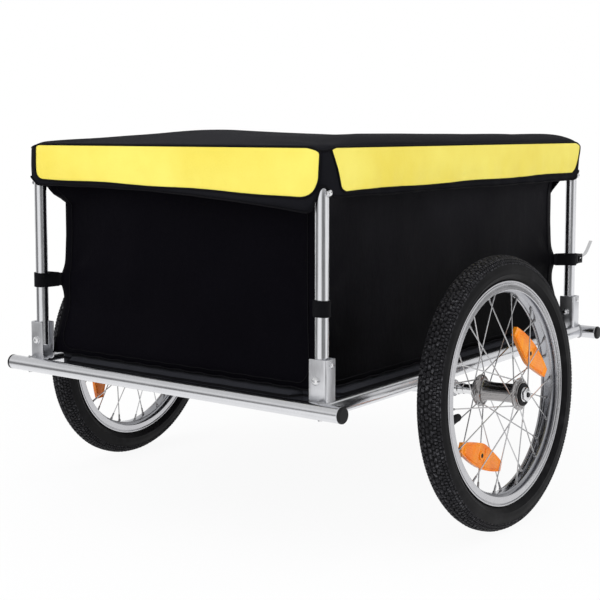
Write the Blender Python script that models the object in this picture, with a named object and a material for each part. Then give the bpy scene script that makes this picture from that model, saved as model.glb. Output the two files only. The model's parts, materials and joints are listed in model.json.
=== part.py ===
"""A folding bicycle cargo trailer: a tube base on two spoked wheels, two side hoops that fold inwards,
a fabric tub with a lift-off cover, and a drawbar that swings along the front. Metres, +Z up, +Y forwards."""

import math

import bmesh
import bpy
from mathutils import Matrix, Vector

# Clearances
GAP = 0.0003
PIVOT_GAP = 0.0003
MERGE = 0.00001

# Base frame of round tube
POST_SPAN_X = 0.532
POST_SPAN_Y = 0.765
BASE_TUBE_R = 0.011
BASE_WALL = 0.0015
RAIL_OUT = 0.010
CROSS_OUT = 0.020
CROSS_OVERHANG = 0.045
CAP_HEAD = 0.005
CAP_STEM = 0.014

# Channel brackets that carry the hoops
CHANNEL_WALL = 0.002
CHANNEL_PLAY = 0.0006
CHANNEL_INBOARD = 0.012
CHANNEL_OUTBOARD = 0.0153
CHANNEL_HEIGHT = 0.060
CHANNEL_CORNER = 0.007
PIVOT_RISE = 0.0375
PIVOT_BOLT_R = 0.003
PIVOT_NUT_R = 0.0062
STOP_RISE = 0.0225
STOP_R = 0.004

# Side hoops
POST_R = 0.0095
POST_WALL = 0.0015
HOOP_RISE = 0.331
HOOP_BEND = 0.052
FOOT_BELOW_PIVOT = 0.008
HOOP_SCREW_R = 0.0025
HOOP_SCREW_DROP = 0.050
DOME_R = 0.0052

# Wheels: sixteen inch, ISO 305. They stand closer together at the top than on the floor, and closer behind
WHEEL_Y = -0.0755
WHEEL_OUT = 0.1007
WHEEL_LEAN = 2.75
WHEEL_TOE_OUT = 2.8
LEFT_WHEEL_TURN = -4
TYRE_HEIGHT = 0.0475
TYRE_WIDTH = 0.040
TREAD_FLAT = 0.0055
TYRE_WALL = 0.0035
RIM_SEAT_R = 0.1525
RIM_FLANGE = 0.0105
RIM_WELL = 0.0075
RIM_WIDTH = 0.029
RIM_WALL = 0.0022
TUBE_PLAY = 0.0006
VALVE_R = 0.0038
VALVE_LENGTH = 0.052
VALVE_CAP_R = 0.0052
VALVE_CAP_LENGTH = 0.019
VALVE_ANGLE = -172.0
FLANGE_HALF = 0.032
FLANGE_R = 0.0235
FLANGE_WALL = 0.0032
BARREL_R = 0.0135
HUB_END = 0.0375
AXLE_R = 0.006
AXLE_BORE_R = 0.0040
BEARING_WIDTH = 0.009
BEARING_SEAT_R = 0.0115
SEAL_R = 0.0150
SEAL_WALL = 0.0025
SPOKES_A_SIDE = 14
SPOKE_CROSSES = 2
SPOKE_R = 0.0009
NIPPLE_R = 0.0019
NIPPLE_LENGTH = 0.012
SPOKE_HOLE_R = 0.0200
SPOKE_RIM_OFFSET = 0.004
SPOKE_STEP = 0.0021
NIPPLE_TILT = 0.28
HEX_R = 0.0110
HEX_LENGTH = 0.010
BUTTON_R = 0.0036
BUTTON_LENGTH = 0.0115
BUTTON_PROUD = 0.0035
AXLE_INSERT = 0.085
SHOULDER_R = 0.0095
REFLECTOR_HALF = 0.058
REFLECTOR_DEEP = 0.0180
REFLECTOR_WALL = 0.0060
REFLECTOR_PLACES = ((-123.0, 0.0990, 8.0, -0.0034), (31.0, 0.0900, 18.0, 0.0062))

# Axle carrier under the base
CARRIER_R = 0.0120
CARRIER_END = 0.003
CARRIER_SOCKET = 0.100
CARRIER_BEND = 0.060

# Fabric tub: heights above the base axis or below the hoops' top, with insets from the post axes
CLOTH = 0.0020
TUB_LOW = ((0.0167, 0.0150), (0.0430, 0.0185), (0.0910, 0.0235))
TUB_HIGH = ((0.130, 0.0265), (0.055, 0.0265), (0.012, 0.0200))
TUB_SAG = 0.004
FLOOR_RISE = 0.0078
FLOOR_THICK = 0.0040
FLOOR_LIP_RISE = 0.0172
FLOOR_LIP_INSET = 0.0215
FLOOR_FLAT_INSET = 0.038
FLOOR_CUT = 0.034
STRAP_RISE = 0.131
STRAP_HEIGHT = 0.022
STRAP_WALL = 0.0018
STRAP_TIE_INSET = 0.0185
BUCKLE_LENGTH = 0.026
TAIL_LENGTH = 0.045

# Cover
COVER_OUT = 0.0135
COVER_REST = 0.0011
COVER_CROWN = 0.0160
COVER_DROP = 0.0676
COVER_NOTCH_RISE = 0.0085
COVER_NOTCH = 0.034
COVER_CORNER = 0.014
COVER_EDGE = 0.006

# Drawbar and hitch
DRAWBAR_X = -0.185
DRAWBAR_R = 0.0125
DRAWBAR_WALL = 0.0018
DRAWBAR_FIRST = 0.385
DRAWBAR_BEND = 0.120
DRAWBAR_RISE = 26.0
DRAWBAR_LAST = 0.100
DRAWBAR_TAIL = 0.013
DRAWBAR_EYE = 0.0215
JAW_WALL = 0.003
JAW_PLAY = 0.0006
JAW_FRONT = 0.016
DRAWBAR_BOLT_R = 0.004
BLOCK_R = 0.0145
BLOCK_LENGTH = 0.052
BLOCK_PLUG = 0.030
HITCH_WIDTH = 0.030
HITCH_DEPTH = 0.046
HITCH_WALL = 0.004
HITCH_PIN_R = 0.004

# Facets
TUBE_SIDES = 12
BOLT_SIDES = 8
WHEEL_STEPS = 28
HUB_STEPS = 14

HALF_X = POST_SPAN_X / 2
HALF_Y = POST_SPAN_Y / 2
WHEEL_R = RIM_SEAT_R + TYRE_HEIGHT
LEAN = math.radians(WHEEL_LEAN)
TOE_OUT = math.radians(WHEEL_TOE_OUT)
AXLE_Z = WHEEL_R * math.cos(LEAN) + TREAD_FLAT * math.sin(LEAN)
CARRIER_SLOPE = math.atan2(math.sin(LEAN), math.cos(LEAN) * math.cos(TOE_OUT))
CARRIER_DROP = (WHEEL_OUT - RAIL_OUT) * math.sin(CARRIER_SLOPE)
RIM_OUTER_R = RIM_SEAT_R + RIM_FLANGE
RIM_INNER_R = RIM_SEAT_R - RIM_WELL
BASE_Z = AXLE_Z + (CARRIER_R + GAP + BASE_TUBE_R - CARRIER_DROP) / math.cos(CARRIER_SLOPE)
PIVOT_Z = BASE_Z + PIVOT_RISE
HOOP_TOP_Z = BASE_Z + HOOP_RISE
HOOP_SCREW_Z = HOOP_TOP_Z - HOOP_SCREW_DROP
FLOOR_TOP = BASE_Z + FLOOR_RISE
FLOOR_LIP_Z = BASE_Z + FLOOR_LIP_RISE
STRAP_Z = BASE_Z + STRAP_RISE
TUB_LEVELS = [(BASE_Z + rise, inset) for rise, inset in TUB_LOW]
TUB_LEVELS += [(HOOP_TOP_Z - drop, inset) for drop, inset in TUB_HIGH]
CROSS_Y = HALF_Y + CROSS_OUT
RAIL_X = HALF_X + RAIL_OUT
WHEEL_X = HALF_X + WHEEL_OUT
REAR_REACH = CROSS_Y + BASE_TUBE_R
COVER_TOP_Z = HOOP_TOP_Z + POST_R + COVER_REST
COVER_HEM_Z = COVER_TOP_Z - COVER_DROP
COVER_NOTCH_Z = HOOP_SCREW_Z + COVER_NOTCH_RISE
STRAP_R = (POST_R + GAP + STRAP_WALL) / math.cos(math.pi / 15)
PIVOT_FORWARD = CROSS_Y + BASE_TUBE_R + GAP + JAW_WALL + DRAWBAR_EYE
RISE_ANGLE = math.radians(DRAWBAR_RISE)
DRAWBAR_RUN = (
    DRAWBAR_FIRST
    + 2 * DRAWBAR_BEND * math.sin(RISE_ANGLE)
    + DRAWBAR_LAST
)
FRONT_REACH = PIVOT_FORWARD + DRAWBAR_RUN + BLOCK_LENGTH + GAP + HITCH_DEPTH
BOX_Y = (REAR_REACH - FRONT_REACH) / 2

SIDES = (("right", 1), ("left", -1))
ENDS = (("rear", -1), ("front", 1))

X_AXIS = Vector((1, 0, 0))
Y_AXIS = Vector((0, 1, 0))
Z_AXIS = Vector((0, 0, 1))


def clear_scene():
    for old in list(bpy.data.objects):
        bpy.data.objects.remove(old, do_unlink=True)


def finish_material(name, colour, roughness, metallic):
    made = bpy.data.materials.new(name)
    made.use_nodes = True
    shader = made.node_tree.nodes["Principled BSDF"]
    shader.inputs["Base Color"].default_value = (*colour, 1)
    shader.inputs["Roughness"].default_value = roughness
    shader.inputs["Metallic"].default_value = metallic
    return made


def all_materials():
    return {
        "galvanised": finish_material("galvanised_tube", (0.62, 0.62, 0.66), 0.32, 1.0),
        "plate": finish_material("zinc_plate", (0.55, 0.55, 0.60), 0.42, 1.0),
        "bright": finish_material("bright_zinc", (0.75, 0.75, 0.77), 0.22, 1.0),
        "alloy": finish_material("rim_alloy", (0.72, 0.72, 0.74), 0.28, 1.0),
        "rubber": finish_material("tyre_rubber", (0.030, 0.030, 0.033), 0.75, 0.0),
        "plastic": finish_material("black_plastic", (0.015, 0.015, 0.016), 0.5, 0.0),
        "cloth": finish_material("black_cloth", (0.012, 0.012, 0.014), 0.8, 0.0),
        "floor": finish_material("floor_cloth", (0.055, 0.056, 0.062), 0.75, 0.0),
        "cover": finish_material("cover_cloth", (0.90, 0.78, 0.10), 0.7, 0.0),
        "webbing": finish_material("webbing", (0.020, 0.020, 0.022), 0.8, 0.0),
        "amber": finish_material("amber_reflector", (0.95, 0.30, 0.02), 0.25, 0.0),
    }


def add_object(name, mesh_work, material, origin=(0, 0, 0)):
    """Makes a scene object from a bmesh in world places, with its own origin."""
    place = Vector(origin)
    bmesh.ops.translate(mesh_work, vec=-place, verts=mesh_work.verts)
    data = bpy.data.meshes.new(name)
    mesh_work.to_mesh(data)
    mesh_work.free()
    data.materials.append(material)
    data.shade_smooth()
    data.set_sharp_from_angle(angle=math.radians(32))
    made = bpy.data.objects.new(name, data)
    made.location = place
    bpy.context.scene.collection.objects.link(made)
    return made


def cutter(name, mesh_work):
    """A hidden helper that cuts or joins other pieces."""
    data = bpy.data.meshes.new(name)
    mesh_work.to_mesh(data)
    mesh_work.free()
    made = bpy.data.objects.new(name, data)
    bpy.context.scene.collection.objects.link(made)
    made.hide_render = True
    made.display_type = "WIRE"
    return made


def combine(target, tool, operation, crossing=False):
    step = target.modifiers.new(f"{operation.lower()} {tool.name}", "BOOLEAN")
    step.object = tool
    step.operation = operation
    step.solver = "EXACT"
    step.use_self = crossing


def aim(mesh_work, centre, axis):
    """Turns a shape built along +Z to lie along axis, with its origin at centre."""
    turn = Vector(axis).to_track_quat("Z", "Y").to_matrix().to_4x4()
    bmesh.ops.transform(mesh_work, matrix=Matrix.Translation(Vector(centre)) @ turn, verts=mesh_work.verts)
    return mesh_work


def turned(profile, steps, closed=False):
    """A solid turned about +Z from (radius, height) points. A closed profile makes a ring."""
    work = bmesh.new()
    points = [work.verts.new((radius, 0, height)) for radius, height in profile]
    edges = [work.edges.new(pair) for pair in zip(points, points[1:])]
    if closed:
        edges.append(work.edges.new((points[-1], points[0])))
    bmesh.ops.spin(
        work, geom=points + edges, cent=(0, 0, 0), axis=(0, 0, 1), angle=2 * math.pi, steps=steps, use_merge=True
    )
    bmesh.ops.remove_doubles(work, verts=work.verts, dist=MERGE)
    bmesh.ops.recalc_face_normals(work, faces=work.faces)
    return work


def rod(radius, low, high, steps):
    return turned([(0, low), (radius, low), (radius, high), (0, high)], steps)


def pipe_profile(outer, inner, sides, closed_end=False):
    """A flat ring of faces, or a disc, in the XY plane, to be pulled along a path."""
    work = bmesh.new()
    outside = bmesh.ops.create_circle(work, cap_ends=closed_end, radius=outer, segments=sides)["verts"]
    if not closed_end:
        inside = bmesh.ops.create_circle(work, cap_ends=False, radius=inner, segments=sides)["verts"]
        loops = {edge for vert in outside + inside for edge in vert.link_edges}
        bmesh.ops.bridge_loops(work, edges=list(loops))
    return work


def with_edges(faces):
    return list(faces) + list({edge for face in faces for edge in face.edges})


def pull(work, faces, move):
    """Extrudes the end faces along a straight vector."""
    made = bmesh.ops.extrude_face_region(work, geom=with_edges(faces))["geom"]
    moved = [item for item in made if isinstance(item, bmesh.types.BMVert)]
    bmesh.ops.translate(work, vec=move, verts=moved)
    return [item for item in made if isinstance(item, bmesh.types.BMFace)]


def swing(work, faces, centre, axis, angle, steps):
    """Extrudes the end faces round a bend."""
    made = bmesh.ops.spin(work, geom=with_edges(faces), cent=centre, axis=axis, angle=angle, steps=steps)["geom_last"]
    return [item for item in made if isinstance(item, bmesh.types.BMFace)]


def straight_pipe(start, end, outer, inner, sides):
    work = pipe_profile(outer, inner, sides)
    along = Vector(end) - Vector(start)
    aim(work, start, along)
    pull(work, list(work.faces), along)
    bmesh.ops.recalc_face_normals(work, faces=work.faces)
    return work


def outline_solid(points, low, high):
    """A flat outline in the XY plane pulled from low to high."""
    work = bmesh.new()
    face = work.faces.new([work.verts.new((x, y, low)) for x, y in points])
    pull(work, [face], Z_AXIS * (high - low))
    bmesh.ops.recalc_face_normals(work, faces=work.faces)
    return work


def loft(loops):
    """Joins loops of equal point counts, one after the other, and closes the first and the last."""
    work = bmesh.new()
    rows = []
    for loop in loops:
        verts = [work.verts.new(point) for point in loop]
        rows.append([work.edges.new(pair) for pair in zip(verts, verts[1:] + verts[:1])])
    for first, second in zip(rows, rows[1:]):
        bmesh.ops.bridge_loops(work, edges=first + second)
    for row in (rows[0], rows[-1]):
        bmesh.ops.contextual_create(work, geom=row)
    bmesh.ops.recalc_face_normals(work, faces=work.faces)
    return work


def in_box(x, y, z):
    """A point given from the middle of the cargo box, as a world point."""
    return Vector((x, y + BOX_Y, z))


def base_frame(materials):
    """Two side rails between two cross tubes whose ends stand out beyond the posts."""
    inner = BASE_TUBE_R - BASE_WALL
    cope = []
    reach = HALF_X + CROSS_OVERHANG
    for end_name, end in ENDS:
        start = in_box(-reach, end * CROSS_Y, BASE_Z)
        finish = in_box(reach, end * CROSS_Y, BASE_Z)
        work = straight_pipe(start, finish, BASE_TUBE_R, inner, TUBE_SIDES)
        add_object(f"cross_tube_{end_name}", work, materials["galvanised"])
        work = aim(rod(BASE_TUBE_R + GAP, -reach, reach, TUBE_SIDES), in_box(0, end * CROSS_Y, BASE_Z), X_AXIS)
        cope.append(cutter(f"cope_cross_{end_name}", work))
        for side_name, side in SIDES:
            stem = inner - GAP
            profile = [
                (0, -CAP_STEM),
                (stem, -CAP_STEM),
                (stem, GAP),
                (BASE_TUBE_R, GAP),
                (BASE_TUBE_R, CAP_HEAD - 0.0015),
                (BASE_TUBE_R - 0.0015, CAP_HEAD),
                (0, CAP_HEAD),
            ]
            place = in_box(side * reach, end * CROSS_Y, BASE_Z)
            work = aim(turned(profile, TUBE_SIDES), place, X_AXIS * side)
            add_object(f"end_cap_{end_name}_{side_name}", work, materials["plastic"])
    rail_cope = {}
    for side_name, side in SIDES:
        half = CROSS_Y - BASE_TUBE_R * 0.5
        start = in_box(side * RAIL_X, -half, BASE_Z)
        finish = in_box(side * RAIL_X, half, BASE_Z)
        work = straight_pipe(start, finish, BASE_TUBE_R, inner, TUBE_SIDES)
        rail = add_object(f"side_rail_{side_name}", work, materials["galvanised"])
        for tool in cope:
            combine(rail, tool, "DIFFERENCE")
        work = aim(rod(BASE_TUBE_R + GAP, -half, half, TUBE_SIDES), in_box(side * RAIL_X, 0, BASE_Z), Y_AXIS)
        rail_cope[side_name] = cutter(f"cope_rail_{side_name}", work)
    return dict(zip(("rear", "front"), cope)), rail_cope


def pivot_cutters():
    """Long drills on each hoop's pivot axis, and on each pair of hoop screws."""
    drills = {}
    for side_name, side in SIDES:
        reach = HALF_Y + 0.05
        work = aim(rod(PIVOT_BOLT_R + PIVOT_GAP, -reach, reach, BOLT_SIDES), in_box(side * HALF_X, 0, PIVOT_Z), Y_AXIS)
        drills[side_name] = cutter(f"pivot_drill_{side_name}", work)
    screw = {}
    for end_name, end in ENDS:
        reach = HALF_X + 0.05
        place = in_box(0, end * HALF_Y, HOOP_SCREW_Z)
        work = aim(rod(HOOP_SCREW_R + PIVOT_GAP, -reach, reach, BOLT_SIDES), place, X_AXIS)
        screw[end_name] = cutter(f"screw_drill_{end_name}", work)
    return drills, screw


def channel_brackets(materials, cross_cope, rail_cope, drills):
    """U-channels that stand on the corner of the base, open inboard, coped to both tubes."""
    half_in = POST_R + CHANNEL_PLAY
    half_out = half_in + CHANNEL_WALL
    web = CHANNEL_OUTBOARD - CHANNEL_WALL
    bottom = BASE_Z + BASE_TUBE_R * 0.5
    top = bottom + CHANNEL_HEIGHT
    for end_name, end in ENDS:
        for side_name, side in SIDES:
            outline = [
                (-CHANNEL_INBOARD, -half_out),
                (CHANNEL_OUTBOARD, -half_out),
                (CHANNEL_OUTBOARD, half_out),
                (-CHANNEL_INBOARD, half_out),
                (-CHANNEL_INBOARD, half_in),
                (web, half_in),
                (web, -half_in),
                (-CHANNEL_INBOARD, -half_in),
            ]
            work = outline_solid(outline, bottom, top)
            lower = []
            outside = []
            for edge in work.edges:
                a, b = (vert.co for vert in edge.verts)
                on_lip = max(abs(a.x + CHANNEL_INBOARD), abs(b.x + CHANNEL_INBOARD)) < MERGE
                if on_lip and abs(a.z - bottom) < MERGE and abs(b.z - bottom) < MERGE:
                    lower.append(edge)
                upright = abs(a.z - b.z) > CHANNEL_HEIGHT / 2
                if upright and a.x > web + MERGE:
                    outside.append(edge)
            bmesh.ops.bevel(
                work, geom=lower, offset=CHANNEL_CORNER, segments=3, profile=0.5, affect="EDGES", material=-1
            )
            bmesh.ops.bevel(
                work, geom=outside, offset=CHANNEL_WALL * 0.9, segments=2, profile=0.5, affect="EDGES", material=-1
            )
            bmesh.ops.scale(work, vec=(side, 1, 1), verts=work.verts)
            bmesh.ops.translate(work, vec=in_box(side * HALF_X, end * HALF_Y, 0), verts=work.verts)
            bmesh.ops.recalc_face_normals(work, faces=work.faces)
            bracket = add_object(f"bracket_{end_name}_{side_name}", work, materials["plate"])
            place = in_box(side * HALF_X, end * HALF_Y, PIVOT_Z + STOP_RISE)
            work = aim(rod(STOP_R, POST_R + GAP, web + CHANNEL_WALL / 2, BOLT_SIDES), place, X_AXIS * side)
            combine(bracket, cutter(f"stop_{end_name}_{side_name}", work), "UNION")
            combine(bracket, cross_cope[end_name], "DIFFERENCE")
            combine(bracket, rail_cope[side_name], "DIFFERENCE")
            combine(bracket, drills[side_name], "DIFFERENCE")


def bolt_profile(shank, head, nut, length_out, length_in):
    """A round-headed bolt with a domed nut. Height 0 is the joint's middle, and the dome points up."""
    dome = [
        (nut * math.cos(angle), length_out + GAP + nut * 0.45 + nut * 0.55 * math.sin(angle))
        for angle in (math.radians(step) for step in (0, 45))
    ]
    return [
        (0, -length_in - GAP - head * 0.6),
        (head * 0.7, -length_in - GAP - head * 0.5),
        (head, -length_in - GAP),
        (shank, -length_in - GAP),
        (shank, length_out + GAP),
        (nut, length_out + GAP),
        *dome,
        (0, length_out + GAP + nut),
    ]


def pivot_bolts(materials):
    half_out = POST_R + CHANNEL_PLAY + CHANNEL_WALL
    for end_name, end in ENDS:
        for side_name, side in SIDES:
            profile = bolt_profile(PIVOT_BOLT_R, PIVOT_NUT_R * 0.85, PIVOT_NUT_R, half_out, half_out)
            place = in_box(side * HALF_X, end * HALF_Y, PIVOT_Z)
            work = aim(turned(profile, BOLT_SIDES), place, Y_AXIS * end)
            add_object(f"pivot_bolt_{end_name}_{side_name}", work, materials["bright"])


def hoops(materials, drills, screw):
    """Each hoop is one bent tube: a post, a rail along the top and a post."""
    foot = PIVOT_Z - FOOT_BELOW_PIVOT
    bend_z = HOOP_TOP_Z - HOOP_BEND
    for side_name, side in SIDES:
        x = side * HALF_X
        work = pipe_profile(POST_R, POST_R - POST_WALL, TUBE_SIDES)
        bmesh.ops.translate(work, vec=in_box(x, -HALF_Y, foot), verts=work.verts)
        faces = pull(work, list(work.faces), Z_AXIS * (bend_z - foot))
        centre = in_box(x, -HALF_Y + HOOP_BEND, bend_z)
        faces = swing(work, faces, centre, -X_AXIS, math.pi / 2, 5)
        faces = pull(work, faces, Y_AXIS * (POST_SPAN_Y - 2 * HOOP_BEND))
        centre = in_box(x, HALF_Y - HOOP_BEND, bend_z)
        faces = swing(work, faces, centre, -X_AXIS, math.pi / 2, 5)
        pull(work, faces, -Z_AXIS * (bend_z - foot))
        bmesh.ops.recalc_face_normals(work, faces=work.faces)
        pivot = in_box(x, 0, PIVOT_Z)
        hoop = add_object(f"hoop_{side_name}", work, materials["galvanised"], pivot)
        combine(hoop, drills[side_name], "DIFFERENCE")
        for end_name, end in ENDS:
            combine(hoop, screw[end_name], "DIFFERENCE")
            profile = bolt_profile(HOOP_SCREW_R, DOME_R * 0.9, DOME_R, POST_R, POST_R)
            place = in_box(x, end * HALF_Y, HOOP_SCREW_Z)
            work = aim(turned(profile, BOLT_SIDES), place, X_AXIS * side)
            add_object(f"hoop_screw_{end_name}_{side_name}", work, materials["bright"], pivot)


def cloth_wall(half_length, half_away, columns):
    """One wall of the tub, built facing +Y, with mitred ends and a slight outward belly between them."""
    rows = []
    low = TUB_LEVELS[0][0]
    high = TUB_LEVELS[-1][0]
    for z, inset in TUB_LEVELS:
        outer = []
        inner = []
        rise = (z - low) / (high - low)
        belly = TUB_SAG * math.sin(math.pi * rise)
        for step in range(columns + 1):
            share = step / columns * 2 - 1
            out = belly * math.cos(share * math.pi / 2)
            x_out = share * (half_length - inset - GAP)
            x_in = share * (half_length - inset - CLOTH - GAP)
            y_out = half_away - inset + out
            outer.append(Vector((x_out, y_out, z)))
            inner.append(Vector((x_in, y_out - CLOTH, z)))
        rows.append(outer + inner[::-1])
    return loft(rows)


def tub_walls(materials):
    for end_name, end in ENDS:
        work = cloth_wall(HALF_X, HALF_Y, 6)
        if end < 0:
            bmesh.ops.rotate(work, cent=(0, 0, 0), matrix=Matrix.Rotation(math.pi, 3, "Z"), verts=work.verts)
        bmesh.ops.translate(work, vec=in_box(0, 0, 0), verts=work.verts)
        add_object(f"end_wall_{end_name}", work, materials["cloth"])
    for side_name, side in SIDES:
        work = cloth_wall(HALF_Y, HALF_X, 8)
        turn = Matrix.Rotation(-side * math.pi / 2, 3, "Z")
        bmesh.ops.rotate(work, cent=(0, 0, 0), matrix=turn, verts=work.verts)
        bmesh.ops.translate(work, vec=in_box(0, 0, 0), verts=work.verts)
        add_object(f"side_wall_{side_name}", work, materials["cloth"], in_box(side * HALF_X, 0, PIVOT_Z))


def corner_loop(half_x, half_y, cut, z):
    """A rectangle with its corners cut off by cut, as eight points from the middle of the box."""
    return [
        in_box(half_x, -half_y + cut, z),
        in_box(half_x, half_y - cut, z),
        in_box(half_x - cut, half_y, z),
        in_box(-half_x + cut, half_y, z),
        in_box(-half_x, half_y - cut, z),
        in_box(-half_x, -half_y + cut, z),
        in_box(-half_x + cut, -half_y, z),
        in_box(half_x - cut, -half_y, z),
    ]


def floor_panel(materials):
    """A stiff fabric floor whose edges rise to a lip and slope down onto the base tubes."""
    seat = (BASE_TUBE_R + GAP) * math.sqrt(0.5)
    lip_x = HALF_X - FLOOR_LIP_INSET
    lip_y = HALF_Y - FLOOR_LIP_INSET
    flat_x = HALF_X - FLOOR_FLAT_INSET
    flat_y = HALF_Y - FLOOR_FLAT_INSET
    rim_x = RAIL_X - seat
    rim_y = CROSS_Y - seat
    cut_rim = FLOOR_CUT + FLOOR_LIP_INSET
    rim_z = BASE_Z + seat
    under = FLOOR_TOP - FLOOR_THICK
    loops = [
        corner_loop(flat_x - 0.02, flat_y - 0.02, 0.008, FLOOR_TOP),
        corner_loop(flat_x, flat_y, 0.008, FLOOR_TOP),
        corner_loop(lip_x, lip_y, 0.014, FLOOR_LIP_Z),
        corner_loop(rim_x, rim_y, cut_rim, rim_z + CLOTH),
        corner_loop(rim_x, rim_y, cut_rim, rim_z),
        corner_loop(lip_x - 0.002, lip_y - 0.002, 0.014, FLOOR_LIP_Z - 1.6 * CLOTH),
        corner_loop(flat_x - 0.002, flat_y - 0.002, 0.008, under),
        corner_loop(flat_x - 0.02, flat_y - 0.02, 0.008, under),
    ]
    add_object("floor_panel", loft(loops), materials["floor"])


def strap_loop(radius, tie, steps):
    """A teardrop in plan: round the post at the origin, then to a point at tie."""
    away = math.atan2(tie.y, tie.x)
    spread = math.acos(radius / tie.length)
    sweep = 2 * math.pi - 2 * spread
    points = [
        Vector((radius * math.cos(away + spread + sweep * step / steps),
                radius * math.sin(away + spread + sweep * step / steps)))
        for step in range(steps + 1)
    ]
    return points + [tie]


def post_straps(materials):
    """Webbing loops that tie the tub's corners to the posts."""
    reach = STRAP_TIE_INSET * math.sqrt(2)
    for end_name, end in ENDS:
        for side_name, side in SIDES:
            inward = Vector((-side, -end)).normalized()
            around = strap_loop(STRAP_R, inward * reach, 10)
            low = in_box(side * HALF_X, end * HALF_Y, STRAP_Z - STRAP_HEIGHT / 2)
            work = bmesh.new()
            face = work.faces.new([work.verts.new((*point, 0)) for point in around])
            face.normal_update()
            band = bmesh.ops.inset_individual(work, faces=[face], thickness=STRAP_WALL, use_even_offset=True)
            bmesh.ops.delete(work, geom=[face], context="FACES_ONLY")
            bmesh.ops.translate(work, vec=low, verts=work.verts)
            pull(work, band["faces"], Z_AXIS * STRAP_HEIGHT)
            bmesh.ops.recalc_face_normals(work, faces=work.faces)
            pivot = in_box(side * HALF_X, 0, PIVOT_Z)
            add_object(f"post_strap_{end_name}_{side_name}", work, materials["webbing"], pivot)


def strap_buckle(materials):
    """The tightening buckle on the front right strap, with the strap's free tail curling up behind it."""
    start = HALF_Y + STRAP_R + GAP
    profile = [
        (start, -0.010),
        (start + 0.006, -0.011),
        (start + BUCKLE_LENGTH * 0.8, -0.007),
        (start + BUCKLE_LENGTH, -0.004),
        (start + BUCKLE_LENGTH + 0.008, 0.000),
        (start + BUCKLE_LENGTH + TAIL_LENGTH * 0.45, 0.014),
        (start + BUCKLE_LENGTH + TAIL_LENGTH * 0.75, 0.030),
        (start + BUCKLE_LENGTH + TAIL_LENGTH * 0.70, 0.0315),
        (start + BUCKLE_LENGTH + TAIL_LENGTH * 0.36, 0.0155),
        (start + BUCKLE_LENGTH * 0.8, 0.006),
        (start + 0.006, 0.0085),
        (start, 0.009),
    ]
    work = outline_solid([(y, z) for y, z in profile], -0.0085, 0.0085)
    turn = Matrix(((0, 0, 1), (1, 0, 0), (0, 1, 0)))
    bmesh.ops.transform(work, matrix=turn.to_4x4(), verts=work.verts)
    bmesh.ops.translate(work, vec=in_box(HALF_X, 0, STRAP_Z), verts=work.verts)
    bmesh.ops.recalc_face_normals(work, faces=work.faces)
    pivot = in_box(HALF_X, 0, PIVOT_Z)
    buckle = add_object("strap_buckle", work, materials["plastic"], pivot)
    place = in_box(HALF_X, start + BUCKLE_LENGTH * 0.52, STRAP_Z - 0.001)
    combine(buckle, cutter("buckle_eye", aim(rod(0.0034, -0.02, 0.02, BOLT_SIDES), place, X_AXIS)), "DIFFERENCE")


def rounded_loop(half_x, half_y, corner, z_of):
    """A rectangle with round corners. z_of gives the height from the distance to the nearest corner."""
    loop = []
    runs = (0.0, 1.0)
    quarter = 3
    for turn in range(4):
        along = (half_y, half_x)[turn % 2]
        away = (half_x, half_y)[turn % 2]
        basis = Matrix.Rotation(turn * math.pi / 2, 2)
        places = [-along + corner, -along + COVER_NOTCH, -along + COVER_NOTCH * 1.5]
        places += [-along * (1 - run) * 0.4 + along * run * 0.4 for run in runs]
        places += [along - COVER_NOTCH * 1.5, along - COVER_NOTCH]
        for run in places:
            loop.append((basis @ Vector((away, run)), along - abs(run)))
        for step in range(quarter):
            angle = math.pi / 2 * step / quarter
            round_x = away - corner + corner * math.cos(angle)
            round_y = along - corner + corner * math.sin(angle)
            loop.append((basis @ Vector((round_x, round_y)), 0.0))
    return [in_box(point.x, point.y, z_of(distance)) for point, distance in loop]


def hem_height(distance):
    share = min(max((distance - COVER_NOTCH) / (COVER_NOTCH * 0.5), 0), 1)
    return COVER_NOTCH_Z + (COVER_HEM_Z - COVER_NOTCH_Z) * share


def cover(materials):
    """The lift-off cover: four hanging sides under a top that crowns a little, open below."""
    half_x = HALF_X + COVER_OUT
    half_y = HALF_Y + COVER_OUT
    side_z = COVER_TOP_Z - COVER_EDGE
    crowns = ((COVER_EDGE, 0.0), (0.060, 0.66), (0.140, 1.0))

    def shell(thin):
        shift = thin * CLOTH
        rows = [
            rounded_loop(half_x - shift, half_y - shift, COVER_CORNER - shift, hem_height),
            rounded_loop(half_x - shift, half_y - shift, COVER_CORNER - shift, lambda distance: COVER_NOTCH_Z + 0.004),
            rounded_loop(half_x - shift, half_y - shift, COVER_CORNER - shift, lambda distance: side_z - shift),
        ]
        for inset, share in crowns:
            height = COVER_TOP_Z + COVER_CROWN * share - shift
            corner = max(COVER_CORNER - inset, 0.004)
            rows.append(
                rounded_loop(half_x - inset, half_y - inset, corner, lambda distance, level=height: level)
            )
        return rows

    outer = shell(0)
    inner = shell(1)
    add_object("cover", loft(inner[::-1] + outer), materials["cover"], in_box(0, 0, COVER_TOP_Z))


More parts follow.
